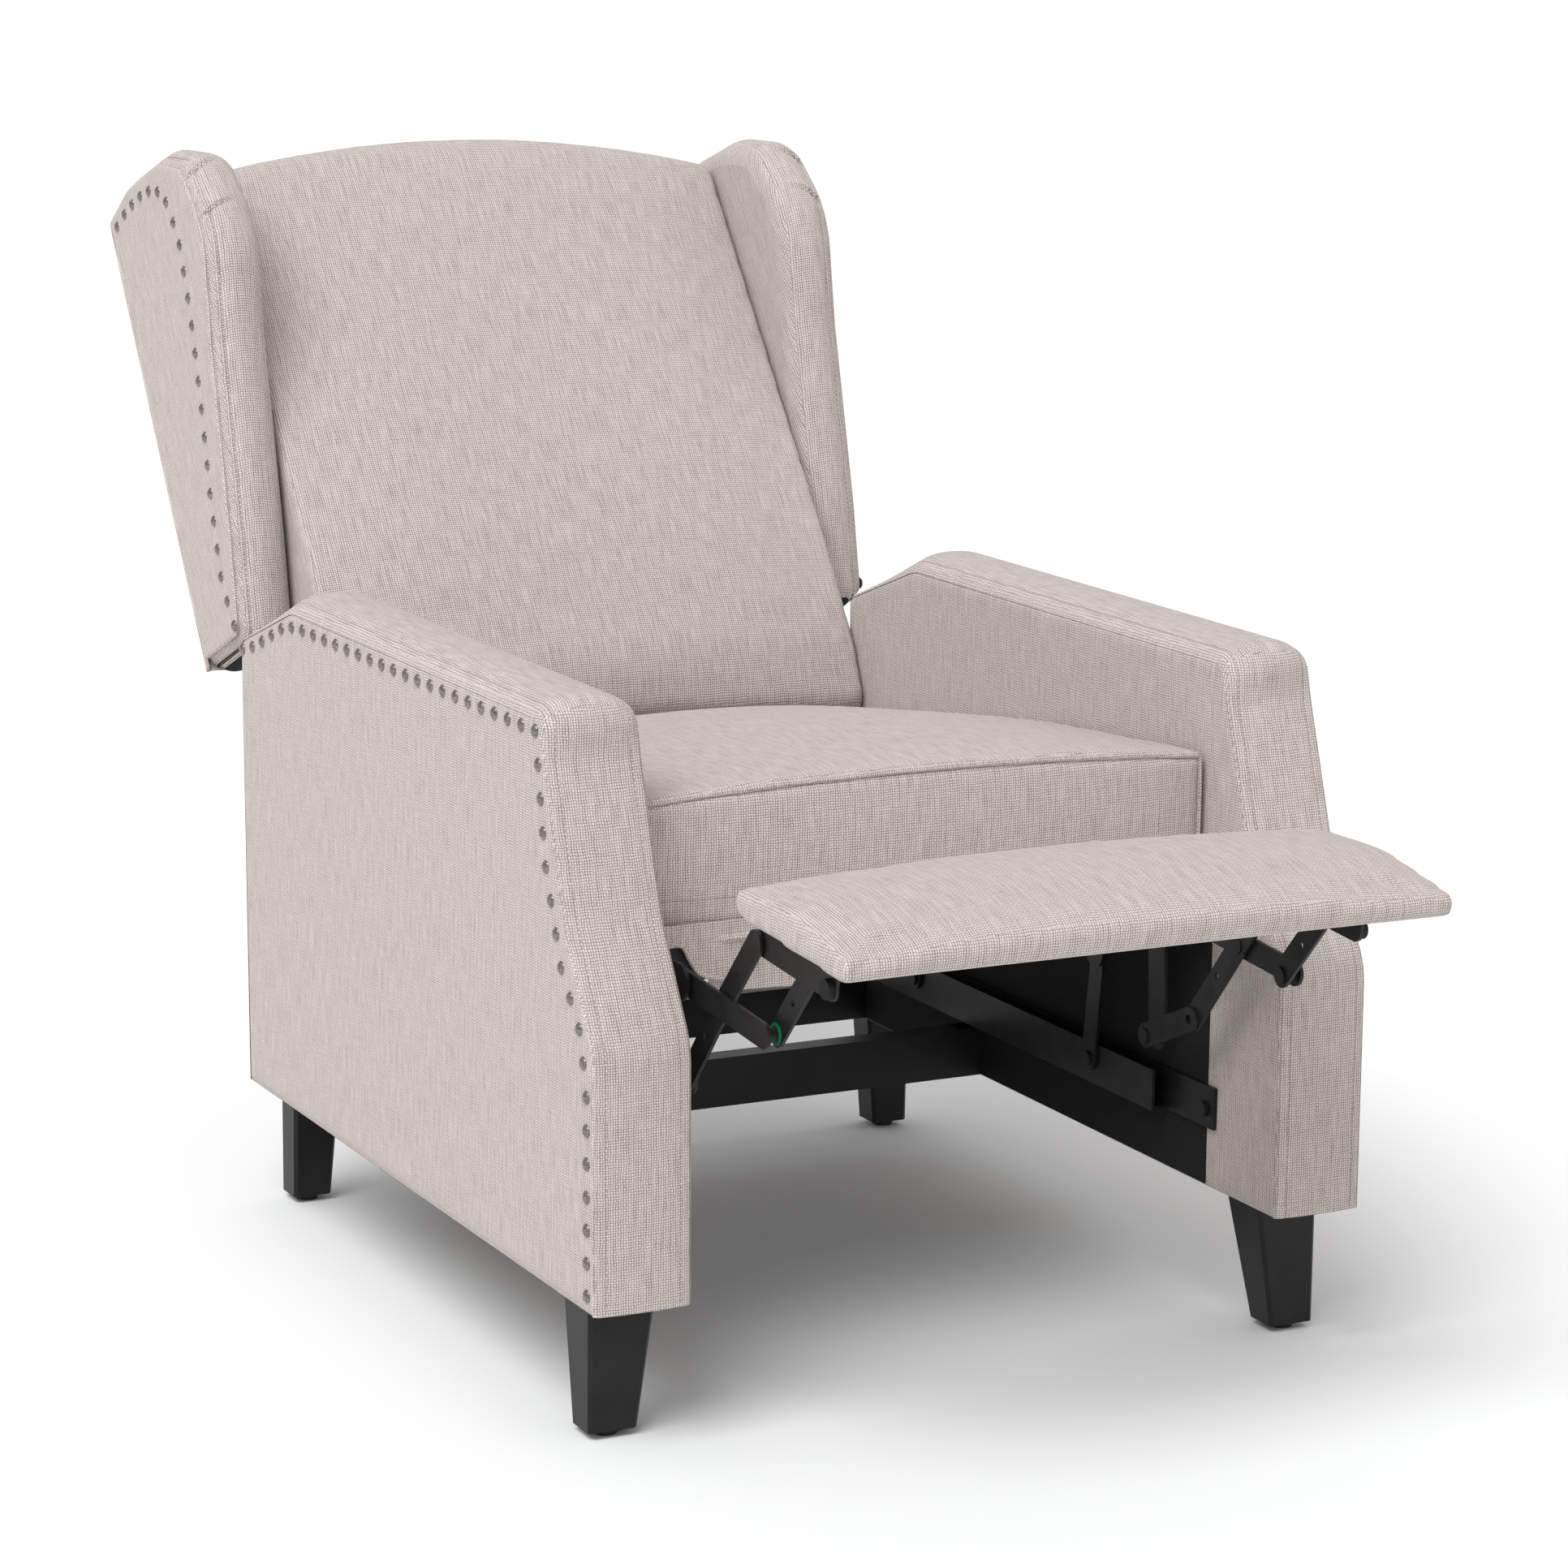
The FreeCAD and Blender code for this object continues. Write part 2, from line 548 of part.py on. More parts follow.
def zigzag(x, start, end, height, place):
    """Sinuous spring from rail to rail. Height and place give z and y for a distance along it."""
    rows = int((end - start) / SPRING_PITCH) - 1
    pitch = (end - start) / (rows + 1)
    flat = [(x, start), (x, start + pitch)]
    for row in range(rows - 1):
        sign = 1 if row % 2 == 0 else -1
        along = start + pitch * (row + 1)
        flat.append((x + sign * SPRING_HALF, along))
        flat.append((x + sign * SPRING_HALF, along + pitch))
    flat.append((x, start + pitch * rows))
    flat.append((x, end))
    points = [Vector(across, place(along), height(along)) for across, along in flat]
    return tube(points, WIRE_RADIUS, pitch / 2 - 0.5)


def seat_corners(x):
    """Side section of the seat cushion, with more crown and front bulge towards the middle."""
    share = 1 - (x / SEAT_HALF) ** 2
    crown = SEAT_CROWN * share
    front = SEAT_FRONT - SEAT_BULGE * share
    return [(front, SEAT_BOTTOM, 8),
            (front - 2, SEAT_FRONT_TOP + 14 * share, 16),
            (-40.0, SEAT_MID_TOP + 10 + crown, 300),
            (150.0, SEAT_MID_TOP - 15 + crown, 300),
            (SEAT_REAR, SEAT_REAR_TOP + 0.3 * crown, 12),
            (SEAT_REAR, SEAT_BOTTOM, 8)]


def seat_soft():
    cushion = loft([outline(seat_corners(share * SEAT_HALF), share * SEAT_HALF) for share in SOFT_STATIONS])
    for side in (1, -1):
        eye = disc(HINGE, 19, side * (PLATE_IN - 6), side * (PLATE_FACE + 6))
        middle = side * (PLATE_IN + PLATE_FACE) / 2
        notch = Part.makeBox(12, 40, 40, Vector(middle - 6, HINGE[0] - 44, SEAT_BOTTOM - 20))
        cushion = cushion.cut(eye).cut(notch)
    keep("seat_cushion", cushion)
    corner = Vector(-APRON_HALF, FRAME_FRONT - APRON_THICK, SEAT_BOTTOM - APRON_DROP)
    keep("seat_apron", Part.makeBox(2 * APRON_HALF, APRON_THICK, APRON_DROP, corner))


def footrest():
    cross, tip, pad_rear, pad_front, tail = linkage()
    drive_in = DRIVE_OUT - STEEL
    tip_end = TIP_OUT - STEEL - GAP
    drive = strap([NOSE, cross, tip], LINK_HALF, drive_in, DRIVE_OUT)
    drive = hole(drive, NOSE)
    pin_end = CROSS_OUT - STEEL - GAP / 2
    drive = drive.fuse(disc(cross, PIN_RADIUS, pin_end, drive_in))
    drive = drive.fuse(disc(cross, HEAD_RADIUS, pin_end - HEAD_THICK, pin_end))
    drive = drive.fuse(disc(tip, PIN_RADIUS, tip_end, drive_in))
    drive = drive.fuse(disc(tip, PIN_RADIUS + SHOULDER, TIP_OUT + GAP, drive_in))
    drive = drive.fuse(disc(tip, HEAD_RADIUS + 0.5, tip_end - DOME_THICK, tip_end))
    keep_pair("footrest_drive_link", drive.removeSplitter())

    link = strap([tail, cross, pad_rear], LINK_HALF, CROSS_OUT - STEEL, CROSS_OUT)
    link = hole(link, cross)
    pin_end = BRACKET_OUT - STEEL - GAP / 2
    link = link.fuse(disc(pad_rear, PIN_RADIUS, pin_end, CROSS_OUT - STEEL))
    link = link.fuse(disc(pad_rear, HEAD_RADIUS, pin_end - HEAD_THICK, pin_end))
    link = link.fuse(disc(tail, HEAD_RADIUS, CROSS_OUT - STEEL - HEAD_THICK, CROSS_OUT - STEEL))
    for reach in (-44.0, 40.0):
        place = polar(cross, reach, CROSS_ANGLE)
        link = link.cut(disc(place, SPARE_HOLE, CROSS_OUT - STEEL - 1, CROSS_OUT + 1))
    keep_pair("footrest_cross_link", link.removeSplitter())

    link = strap([tip, pad_front], LINK_HALF, TIP_OUT - STEEL, TIP_OUT)
    place = polar(tip, CROSS_TO_PAD / 2, CROSS_ANGLE)
    link = link.cut(disc(place, SPARE_HOLE, TIP_OUT - STEEL - 1, TIP_OUT + 1))
    keep_pair("footrest_tip_link", hole(hole(link, tip), pad_front))

    link = strap([CONTROL, tail], LINK_HALF, BRACKET_OUT - STEEL, BRACKET_OUT)
    keep_pair("footrest_control_link", hole(hole(link, CONTROL), tail))

    washers = []
    bore = PIN_RADIUS + SHOULDER + BOLT_FIT
    for point, outer in ((cross, drive_in), (tip, TIP_OUT + PLANE_GAP)):
        ring = disc(point, WASHER_RADIUS, outer - 0.1, outer - 0.1 - WASHER_THICK)
        washers.append(ring.cut(disc(point, bore, outer, outer - PLANE_GAP)))
    keep_pair("footrest_washers", *washers)
    footrest_pad(pad_rear)


def pad_place(pad_rear, ahead, above):
    """(y, z) of a point given along and above the line of the bracket's pivots."""
    return polar(polar(pad_rear, ahead, DRIVE_ANGLE), above, DRIVE_ANGLE - 90)


def pad_polygon(pad_rear, points):
    return [pad_place(pad_rear, point[0], point[1]) + (point[2],) for point in points]


def pad_corners(pad_rear, x):
    share = 1 - (x / PAD_HALF) ** 2
    middle = (PAD_BACK + PAD_FRONT) / 2
    return pad_polygon(pad_rear, [
        (PAD_BACK + 10, PAD_UNDER, 3),
        (PAD_BACK - 2 * share, PAD_EDGE + 0.35 * PAD_CROWN * share, 7),
        (middle, PAD_EDGE + 7 + PAD_CROWN * share, 250),
        (PAD_FRONT + 3 * share, PAD_EDGE - 2 + 0.35 * PAD_CROWN * share, 7),
        (PAD_FRONT - 10, PAD_UNDER, 3)])


def footrest_pad(pad_rear):
    pad = loft([outline(pad_corners(pad_rear, share * PAD_HALF), share * PAD_HALF) for share in SOFT_STATIONS])
    low, high = PAD_BACK + BOARD_MARGIN, PAD_FRONT - BOARD_MARGIN
    half = PAD_HALF - BOARD_MARGIN

    def board_slab(extra):
        return slab(pad_polygon(pad_rear, [
            (low, PAD_UNDER - extra, 0), (low, PAD_UNDER + BOARD_THICK, 0),
            (high, PAD_UNDER + BOARD_THICK, 0), (high, PAD_UNDER - extra, 0)]), -half, half)
    board = board_slab(0)
    keep("footrest_pad", pad.cut(board_slab(1)))

    web_out, web_in = BRACKET_OUT, BRACKET_OUT - STEEL
    top = PAD_UNDER
    start, end = BRACKET_START, BRACKET_REACH + 40
    web = slab(pad_polygon(pad_rear, [
        (start, top, 0), (start, 12.0, 6), (-9.0, 9.0, 8), (-9.0, -9.5, 8),
        (BRACKET_REACH + 9, -9.5, 9), (BRACKET_REACH + 9, 12.0, 12),
        (end, 22.0, 8), (end, top, 0)]), web_in, web_out)
    flange = slab(pad_polygon(pad_rear, [
        (start, top, 0), (start, top - STEEL, 0), (end, top - STEEL, 0), (end, top, 0)]),
        web_in - BRACKET_FLANGE, web_in)
    pad_front = pad_place(pad_rear, CROSS_TO_TIP, 0)
    bumper_place = pad_place(pad_rear, BRACKET_REACH, 0)
    bracket = hole(web.fuse(flange).removeSplitter(), pad_rear)
    pin_end = TIP_OUT - STEEL - GAP
    bracket = bracket.fuse(disc(pad_front, PIN_RADIUS, pin_end, web_in))
    bracket = bracket.fuse(disc(pad_front, HEAD_RADIUS + 0.5, pin_end - DOME_THICK, pin_end))
    screws = []
    x = web_in - BRACKET_FLANGE * 0.55
    up = Vector(0, *pad_place((0, 0), 0, 1))
    for ahead in SCREW_PLACES:
        under = Vector(x, *pad_place(pad_rear, ahead, top - STEEL))
        shank = Part.makeCylinder(SCREW_RADIUS, STEEL + BOARD_THICK - 2, under, up)
        screws.append(Part.makeCone(4.5, SCREW_RADIUS, 2.0, under - up * 1.6, up).fuse(shank))
        bore = Part.makeCylinder(SCREW_RADIUS + BOLT_FIT, STEEL + BOARD_THICK, under - up, up)
        cutter = Part.makeCone(4.6, SCREW_RADIUS + BOLT_FIT, 2.0, under - up * 1.6, up).fuse(bore)
        bracket = bracket.cut(cutter)
        board = board.cut(cutter).cut(mirrored(cutter))
    keep_pair("footrest_bracket", bracket.removeSplitter())
    keep("footrest_screws", *on_both_sides(screws))
    keep("footrest_board", board)
    bumper = disc(bumper_place, BUMPER_RADIUS, web_out, web_out + BUMPER_THICK)
    keep("footrest_bumpers", *on_both_sides([bumper]))
    washer = disc(pad_front, WASHER_RADIUS, TIP_OUT + 0.1, TIP_OUT + 0.1 + WASHER_THICK)
    washer = washer.cut(disc(pad_front, PIN_RADIUS + BOLT_FIT, TIP_OUT, web_in))
    keep("bracket_washers", *on_both_sides([washer]))


def back_place(rise, depth):
    """(y, z) of a point up the rear face and in front of it."""
    lean = radians(BACK_LEAN)
    return (BACK_FOOT[0] + rise * sin(lean) - depth * cos(lean),
            BACK_FOOT[1] + rise * cos(lean) + depth * sin(lean))


def back_polygon(points):
    """The points, given by rise and depth, as (y, z) with whatever follows kept."""
    return [back_place(point[0], point[1]) + tuple(point[2:]) for point in points]


def cushion_corners(x):
    """Side section of the back cushion, higher and fuller towards the middle."""
    share = 1 - (x / BACK_HALF) ** 2
    arch = BACK_ARCH * share
    crown = BACK_CROWN * share
    layer = PANEL_THICK + POST_DEPTH
    top = BACK_HEIGHT - BACK_RAIL
    return back_polygon([
        (-21.3, layer, 0),
        (-161.6, BACK_LAYER - 36, 6),
        (-142.0, BACK_LAYER - 11.5 + 0.3 * crown, 14),
        (-85.3, BACK_LAYER + crown, 30),
        (-25.0, BACK_LAYER + crown, 80),
        (BACK_HEIGHT - 36 + arch, BACK_LAYER - 36 + crown, 28),
        (BACK_HEIGHT - 6 + 0.7 * arch, PANEL_THICK, 0),
        (top, PANEL_THICK, 0),
        (top, layer, 0),
        (-20.0, layer, 0)])


def wing_corners(inset):
    """Side outline of the wing, drawn in from its crown where that is asked for."""
    height, reach = BACK_HEIGHT, WING_REACH - inset
    return back_polygon([
        (-2.0, 0.0, 6),
        (-21.0 + 0.4 * inset, 0.43 * reach, 16),
        (0.15 * height, 0.59 * WING_REACH - inset, 250),
        (0.49 * height, 0.825 * WING_REACH - inset, 250),
        (height - 145.0, WING_REACH + 2.0 - inset, 110),
        (height - 62.0 - 0.5 * inset, 0.89 * WING_REACH - 0.9 * inset, 44),
        (height - 29.0 - inset, 0.66 * WING_REACH - 0.4 * inset, 44),
        (height - 4.0 - inset, 0.25 * WING_REACH, 110),
        (height - 3.0 - inset, 0.0, 4)])


def wing_board_corners():
    height = BACK_HEIGHT
    return back_polygon([
        (24.0, 26.0, 0),
        (9.0, 0.36 * WING_REACH, 14),
        (0.185 * height, 0.49 * WING_REACH, 0),
        (0.52 * height, 0.72 * WING_REACH, 0),
        (height - 138.0, 0.86 * WING_REACH, 24),
        (height - 80.0, 0.73 * WING_REACH, 24),
        (height - 58.0, 0.56 * WING_REACH, 30),
        (height - 38.0, 0.22 * WING_REACH, 20),
        (height - 26.0, 26.0, 0)])


def wing_nail_line():
    """Corners of the nail row, from the top rear round the front to the foot."""
    height = BACK_HEIGHT
    return back_polygon([
        (height - 24.0, 18.0),
        (height - 25.5, 0.23 * WING_REACH),
        (height - 37.0, 0.45 * WING_REACH),
        (height - 49.3, 0.56 * WING_REACH),
        (height - 67.0, 0.65 * WING_REACH),
        (height - 119.6, 0.707 * WING_REACH),
        (0.605 * height, 0.66 * WING_REACH),
        (0.41 * height, 0.546 * WING_REACH),
        (0.26 * height, 0.4425 * WING_REACH),
        (0.11 * height, 0.37 * WING_REACH),
        (4.0, 0.395 * WING_REACH)])


def back():
    layer = PANEL_THICK + POST_DEPTH
    post_in = PLATE_IN - GAP
    top = BACK_HEIGHT - BACK_RAIL

    def timber(low, high, x_from, x_to):
        corners = [(low, PANEL_THICK, 0), (low, layer, 0), (high, layer, 0), (high, PANEL_THICK, 0)]
        return slab(back_polygon(corners), x_from, x_to)
    post = timber(0, top, post_in, post_in + POST_WIDTH)
    low_rail = timber(0, BACK_RAIL, -post_in + STEEL, post_in - STEEL)
    high_rail = timber(top - BACK_RAIL, top, -post_in, post_in)

    def spring_place(along):
        return back_place(along, layer - 6)
    springs = [zigzag(x, BACK_RAIL, top - BACK_RAIL, lambda along: spring_place(along)[1],
                      lambda along: spring_place(along)[0]) for x in spring_places(BACK_SPRINGS, post_in)]
    keep("back_springs", *springs)

    arm = [HINGE, back_place(-108, 121), back_place(16, 28)]
    bracket = strap(arm + [back_place(95, 28)], 15.0, post_in - STEEL, post_in)
    bolts = []
    for place in (back_place(24, 28), back_place(82, 28)):
        cutter = disc(place, BOLT_RADIUS + BOLT_FIT, post_in - STEEL - 1, post_in + BOLT_DEPTH)
        bracket = bracket.cut(cutter)
        post = post.cut(cutter)
        under_head = post_in - STEEL
        pocket = disc(place, BOLT_HEAD + BOLT_FIT, under_head - BOLT_HEAD_THICK - BOLT_FIT, post_in)
        low_rail = low_rail.cut(pocket).cut(mirrored(pocket))
        head = disc(place, BOLT_HEAD, under_head - BOLT_HEAD_THICK, under_head)
        bolts.append(disc(place, BOLT_RADIUS, under_head, post_in + BOLT_DEPTH - 1).fuse(head))
    bracket = bracket.fuse(disc(HINGE, PIN_RADIUS, post_in, PLATE_FACE + GAP))
    bracket = bracket.fuse(disc(HINGE, HEAD_RADIUS + 1, PLATE_FACE + GAP, PLATE_FACE + DOME_THICK))
    keep_pair("back_bracket", bracket.removeSplitter())
    keep("back_bracket_bolts", *on_both_sides(bolts))
    keep("back_frame", post, mirrored(post), low_rail, high_rail)

    cushion = loft([outline(cushion_corners(share * BACK_HALF), share * BACK_HALF) for share in SOFT_STATIONS])
    for side in (1, -1):
        eye = disc(HINGE, 22, side * (post_in - STEEL - 3), side * (PLATE_FACE + 6))
        pocket = strap(arm, 16.0, side * (post_in - STEEL - 0.5), side * (post_in + 0.5))
        cushion = cushion.cut(eye).cut(pocket)
    keep("back_cushion", cushion)
    keep("back_outer_panel", arched_panel())
    half = post_in - STEEL - 1
    cloth = slab(back_polygon([
        (-154.0, BACK_LAYER - 41.3, 0), (-22.0, layer - 0.8, 0),
        (-23.4, layer - 0.8 - CLOTH_THICK, 0), (-155.4, BACK_LAYER - 41.3 - CLOTH_THICK, 0)]), -half, half)
    keep("back_underside_cloth", cloth)
    wings(post)


def arched_panel():
    """Rear cover across the back and both wings, with an arched top."""
    lean = radians(BACK_LEAN)
    up = Vector(0, sin(lean), cos(lean))
    ahead = Vector(0, -cos(lean), sin(lean))
    foot = Vector(0, BACK_FOOT[0], BACK_FOOT[1])
    right = Vector(1, 0, 0)
    low_left = foot - right * PANEL_HALF
    low_right = foot + right * PANEL_HALF
    high_right = foot + right * PANEL_HALF + up * (BACK_HEIGHT - 3 - WING_CROWN)
    high_left = foot - right * PANEL_HALF + up * (BACK_HEIGHT - 3 - WING_CROWN)
    crest = foot + up * (BACK_HEIGHT - 6 + BACK_ARCH * 0.7)
    edges = [Part.LineSegment(low_left, low_right).toShape(),
             Part.LineSegment(low_right, high_right).toShape(),
             Part.Arc(high_right, crest, high_left).toShape(),
             Part.LineSegment(high_left, low_left).toShape()]
    return Part.Face(Part.Wire(edges)).extrude(ahead * PANEL_THICK)


def wings(post):
    half = (WING_OUTER - WING_INNER) / 2
    wires = []
    for share in CROWN_STATIONS:
        inset = WING_CROWN * abs(share) ** CROWN_POWER
        wires.append(outline(wing_corners(inset), WING_INNER + half + share * half))
    body = loft(wires)
    board = slab(wing_board_corners(), WING_BOARD_INNER, WING_BOARD_INNER + WING_BOARD)
    board = board.cut(post)
    places = walk(wing_nail_line(), NAIL_PITCH)
    holes = Part.makeCompound([nail_hole(place, WING_OUTER) for place in places])
    corners = [(-60, -60, 0), (-60, PANEL_THICK, 0), (BACK_HEIGHT + 60, PANEL_THICK, 0), (BACK_HEIGHT + 60, -60, 0)]
    behind = slab(back_polygon(corners), WING_INNER - 5, WING_OUTER + 5)
    cover = body.cut(behind).cut(board).cut(post).cut(holes)
    keep_pair("wing_frame", board)
    keep_pair("wing_upholstery", cover)
    keep("wing_nails", *on_both_sides([nail(place, WING_OUTER) for place in places]))


def export():
    """Move the whole chair so that its footprint is centred, and write each node."""
    whole = Part.makeCompound([solid for solids in nodes.values() for solid in solids])
    box = whole.optimalBoundingBox(False, False)
    shift = -(box.YMin + box.YMax) / 2
    os.makedirs("parts", exist_ok=True)
    for name, solids in nodes.items():
        moved = [solid.translated(Vector(0, shift, 0)) for solid in solids]
        flat = [single for solid in moved for single in solid.Solids]
        shape = flat[0] if len(flat) == 1 else Part.makeCompound(flat)
        shape.exportStep("parts/" + name + ".step")
        state = "valid" if shape.isValid() else "INVALID"
        print(name, len(flat), "solids", state, round(shape.Volume / 1000, 1), "cm3")
    print("nodes", len(nodes), "shift", round(shift, 4), "box", box)
    cross, tip, pad_rear, pad_front, tail = linkage()
    pivots = {"nose": NOSE, "cross": cross, "tip": tip, "pad_rear": pad_rear, "pad_front": pad_front,
              "tail": tail, "control": CONTROL, "hinge": HINGE,
              "swing_foot_front": (SWING_FOOT_FRONT, SWING_FOOT_Z),
              "swing_foot_rear": (SWING_FOOT_REAR, SWING_FOOT_Z),
              "swing_head_front": swing_head(SWING_FOOT_FRONT),
              "swing_head_rear": swing_head(SWING_FOOT_REAR)}
    for name, point in pivots.items():
        print("pivot", name, round((point[0] + shift) / 1000, 6), round(point[1] / 1000, 6))


arms_and_legs()
base_rails()
seat_plates()
seat_frame()
seat_soft()
footrest()
back()
export()
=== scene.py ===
import json
from math import ceil, cos, exp, hypot, pi, radians, sin, tan

import bmesh
import bpy
import numpy as np
from mathutils import Matrix, Vector
from mathutils.bvhtree import BVHTree


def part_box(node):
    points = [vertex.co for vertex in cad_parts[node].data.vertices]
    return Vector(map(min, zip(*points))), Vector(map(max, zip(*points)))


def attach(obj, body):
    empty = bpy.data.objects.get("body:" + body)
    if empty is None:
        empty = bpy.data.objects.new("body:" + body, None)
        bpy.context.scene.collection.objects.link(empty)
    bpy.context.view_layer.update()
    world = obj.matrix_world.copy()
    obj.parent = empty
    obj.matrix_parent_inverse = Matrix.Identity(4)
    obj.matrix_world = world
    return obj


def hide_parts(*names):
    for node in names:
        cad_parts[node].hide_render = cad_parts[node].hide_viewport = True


# Wingback recliner with its footrest out. Metres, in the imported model's frame.
# Side outlines are (y, z, corner radius), about y = 0 midway between the glides.

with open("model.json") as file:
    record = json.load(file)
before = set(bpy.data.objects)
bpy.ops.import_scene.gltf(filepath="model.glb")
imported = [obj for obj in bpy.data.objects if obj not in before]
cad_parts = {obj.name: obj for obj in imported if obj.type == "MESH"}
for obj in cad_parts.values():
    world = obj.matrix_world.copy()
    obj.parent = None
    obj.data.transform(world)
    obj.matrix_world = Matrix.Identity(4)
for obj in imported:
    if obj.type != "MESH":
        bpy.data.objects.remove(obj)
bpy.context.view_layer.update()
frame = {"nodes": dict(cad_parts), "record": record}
nodes = frame["nodes"]

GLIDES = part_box("leg_glides")
# From the chair's own y = 0 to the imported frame's
SHIFT = (GLIDES[0].y + GLIDES[1].y) / 2 + 0.0005
SIDES = (("left", 1), ("right", -1))
scene = bpy.context.scene


# Outlines and grids

def corner_arc(before, vertex, after, radius, step):
    """Points of the arc that rounds a corner."""
    back = (before - vertex).normalized()
    ahead = (after - vertex).normalized()
    half = back.angle(ahead) / 2
    if radius == 0 or half > pi / 2 - 0.002:
        return [vertex]
    reach = radius / tan(half)
    centre = vertex + (back + ahead).normalized() * (radius / sin(half))
    start = vertex + back * reach - centre
    end = vertex + ahead * reach - centre
    turn = start.angle(end)
    count = max(2, ceil(turn * radius / step), ceil(turn / 0.25))
    across = (end - start * cos(turn)) / sin(turn)
    angles = [turn * i / count for i in range(count + 1)]
    return [centre + start * cos(angle) + across * sin(angle) for angle in angles]


def rounded(corners, closed, step=0.006):
    """A line through (y, z, radius) corners, as 2-D points, with the corners rounded."""
    line = []
    places = [Vector((c[0], c[1])) for c in corners]
    for i, here in enumerate(places):
        if not closed and i in (0, len(places) - 1):
            line.append(here)
            continue
        line += corner_arc(places[i - 1], here, places[(i + 1) % len(places)], corners[i][2], step)
    if closed:
        line.append(line[0])
    return line


def resample(line, count):
    """The line again, as count + 1 evenly spaced points."""
    lengths = [0.0]
    for a, b in zip(line, line[1:]):
        lengths.append(lengths[-1] + (b - a).length)
    total = lengths[-1]
    out = []
    leg = 0
    for i in range(count + 1):
        want = total * i / count
        while leg < len(line) - 2 and lengths[leg + 1] < want:
            leg += 1
        span = lengths[leg + 1] - lengths[leg]
        share = 0 if span == 0 else (want - lengths[leg]) / span
        out.append(line[leg].lerp(line[leg + 1], min(1.0, share)))
    return out


def line_length(line):
    return sum((b - a).length for a, b in zip(line, line[1:]))


def nearest_index(line, point):
    return min(range(len(line)), key=lambda i: (line[i] - Vector(point)).length)


def normals(line):
    """Unit normals of a line in the y-z plane, pointing away from the side that it goes round."""
    area = sum(a.x * b.y - b.x * a.y for a, b in zip(line, line[1:] + line[:1]))
    sign = -1 if area > 0 else 1
    out = []
    for i in range(len(line)):
        ahead = line[min(i + 1, len(line) - 1)] - line[max(i - 1, 0)]
        ahead.normalize()
        out.append(Vector((-ahead.y, ahead.x)) * sign)
    return out


def smooth(edge, value):
    """0 at 0 and 1 past the edge, with a soft start and end."""
    share = min(1.0, max(0.0, value / edge))
    return share * share * (3 - 2 * share)


def new_object(name, mesh, material):
    mesh.materials.clear()
    mesh.materials.append(material)
    obj = bpy.data.objects.new(name, mesh)
    scene.collection.objects.link(obj)
    for polygon in mesh.polygons:
        polygon.use_smooth = True
    return obj


def grid_mesh(name, rows, material, wrap=False, caps=False):
    """A sheet from rows of points. wrap joins each row's ends, caps closes the end rows."""
    mesh = bpy.data.meshes.new(name)
    width = len(rows[0])
    points = [tuple(p) for row in rows for p in row]
    faces = []
    for r in range(len(rows) - 1):
        for c in range(width if wrap else width - 1):
            n = (c + 1) % width
            faces.append((r * width + c, r * width + n, (r + 1) * width + n, (r + 1) * width + c))
    if caps:
        last = (len(rows) - 1) * width
        faces.append(tuple(range(width - 1, -1, -1)))
        faces.append(tuple(range(last, last + width)))
    mesh.from_pydata(points, [], faces)
    mesh.validate()
    tidy_normals(mesh)
    return new_object(name, mesh, material)


def joined_grids(name, grids, material):
    """Several sheets of points that share edges, as one smooth mesh."""
    points, faces = [], []
    for rows in grids:
        base, width = len(points), len(rows[0])
        points += [tuple(p) for row in rows for p in row]
        for r in range(len(rows) - 1):
            for c in range(width - 1):
                k = base + r * width + c
                faces.append((k, k + 1, k + width + 1, k + width))
    mesh = bpy.data.meshes.new(name)
    mesh.from_pydata(points, [], faces)
    work = bmesh.new()
    work.from_mesh(mesh)
    bmesh.ops.remove_doubles(work, verts=work.verts, dist=2e-5)
    bmesh.ops.recalc_face_normals(work, faces=work.faces)
    work.to_mesh(mesh)
    work.free()
    middle = sum((v.co for v in mesh.vertices), Vector()) / len(mesh.vertices)
    if sum(f.area * f.normal.dot(f.center - middle) for f in mesh.polygons) < 0:
        mesh.flip_normals()
    mesh.validate()
    return new_object(name, mesh, material)


def tidy_normals(mesh):
    work = bmesh.new()
    work.from_mesh(mesh)
    bmesh.ops.remove_doubles(work, verts=work.verts, dist=1e-6)
    bmesh.ops.recalc_face_normals(work, faces=work.faces)
    work.to_mesh(mesh)
    work.free()


def side_point(side, x, place):
    """3-D point from a distance off the middle plane and a (y, z) place."""
    return Vector((side * x, place[0] + SHIFT, place[1]))


def tube(name, points, radius, material, sides=10, closed=False):
    """Round piping along points."""
    rows = []
    count = len(points)
    previous = None
    for i, point in enumerate(points):
        ahead = points[(i + 1) % count] if closed or i < count - 1 else points[i]
        behind = points[i - 1] if closed or i > 0 else points[i]
        along = (ahead - behind).normalized()
        if previous is None:
            previous = Vector((0, 0, 1)) if abs(along.z) < 0.9 else Vector((1, 0, 0))
        across = (previous - along * previous.dot(along)).normalized()
        previous = across
        other = along.cross(across)
        angles = [2 * pi * k / sides for k in range(sides)]
        rows.append([point + across * radius * cos(a) + other * radius * sin(a) for a in angles])
    if closed:
        rows.append(rows[0])
    return grid_mesh(name, rows, material, wrap=True, caps=not closed)


THREAD_RINGS = ((-0.5, 0.35), (-0.25, 1.0), (0.25, 1.0), (0.5, 0.35))     # reach and thickness
THREAD_SIDES = 6


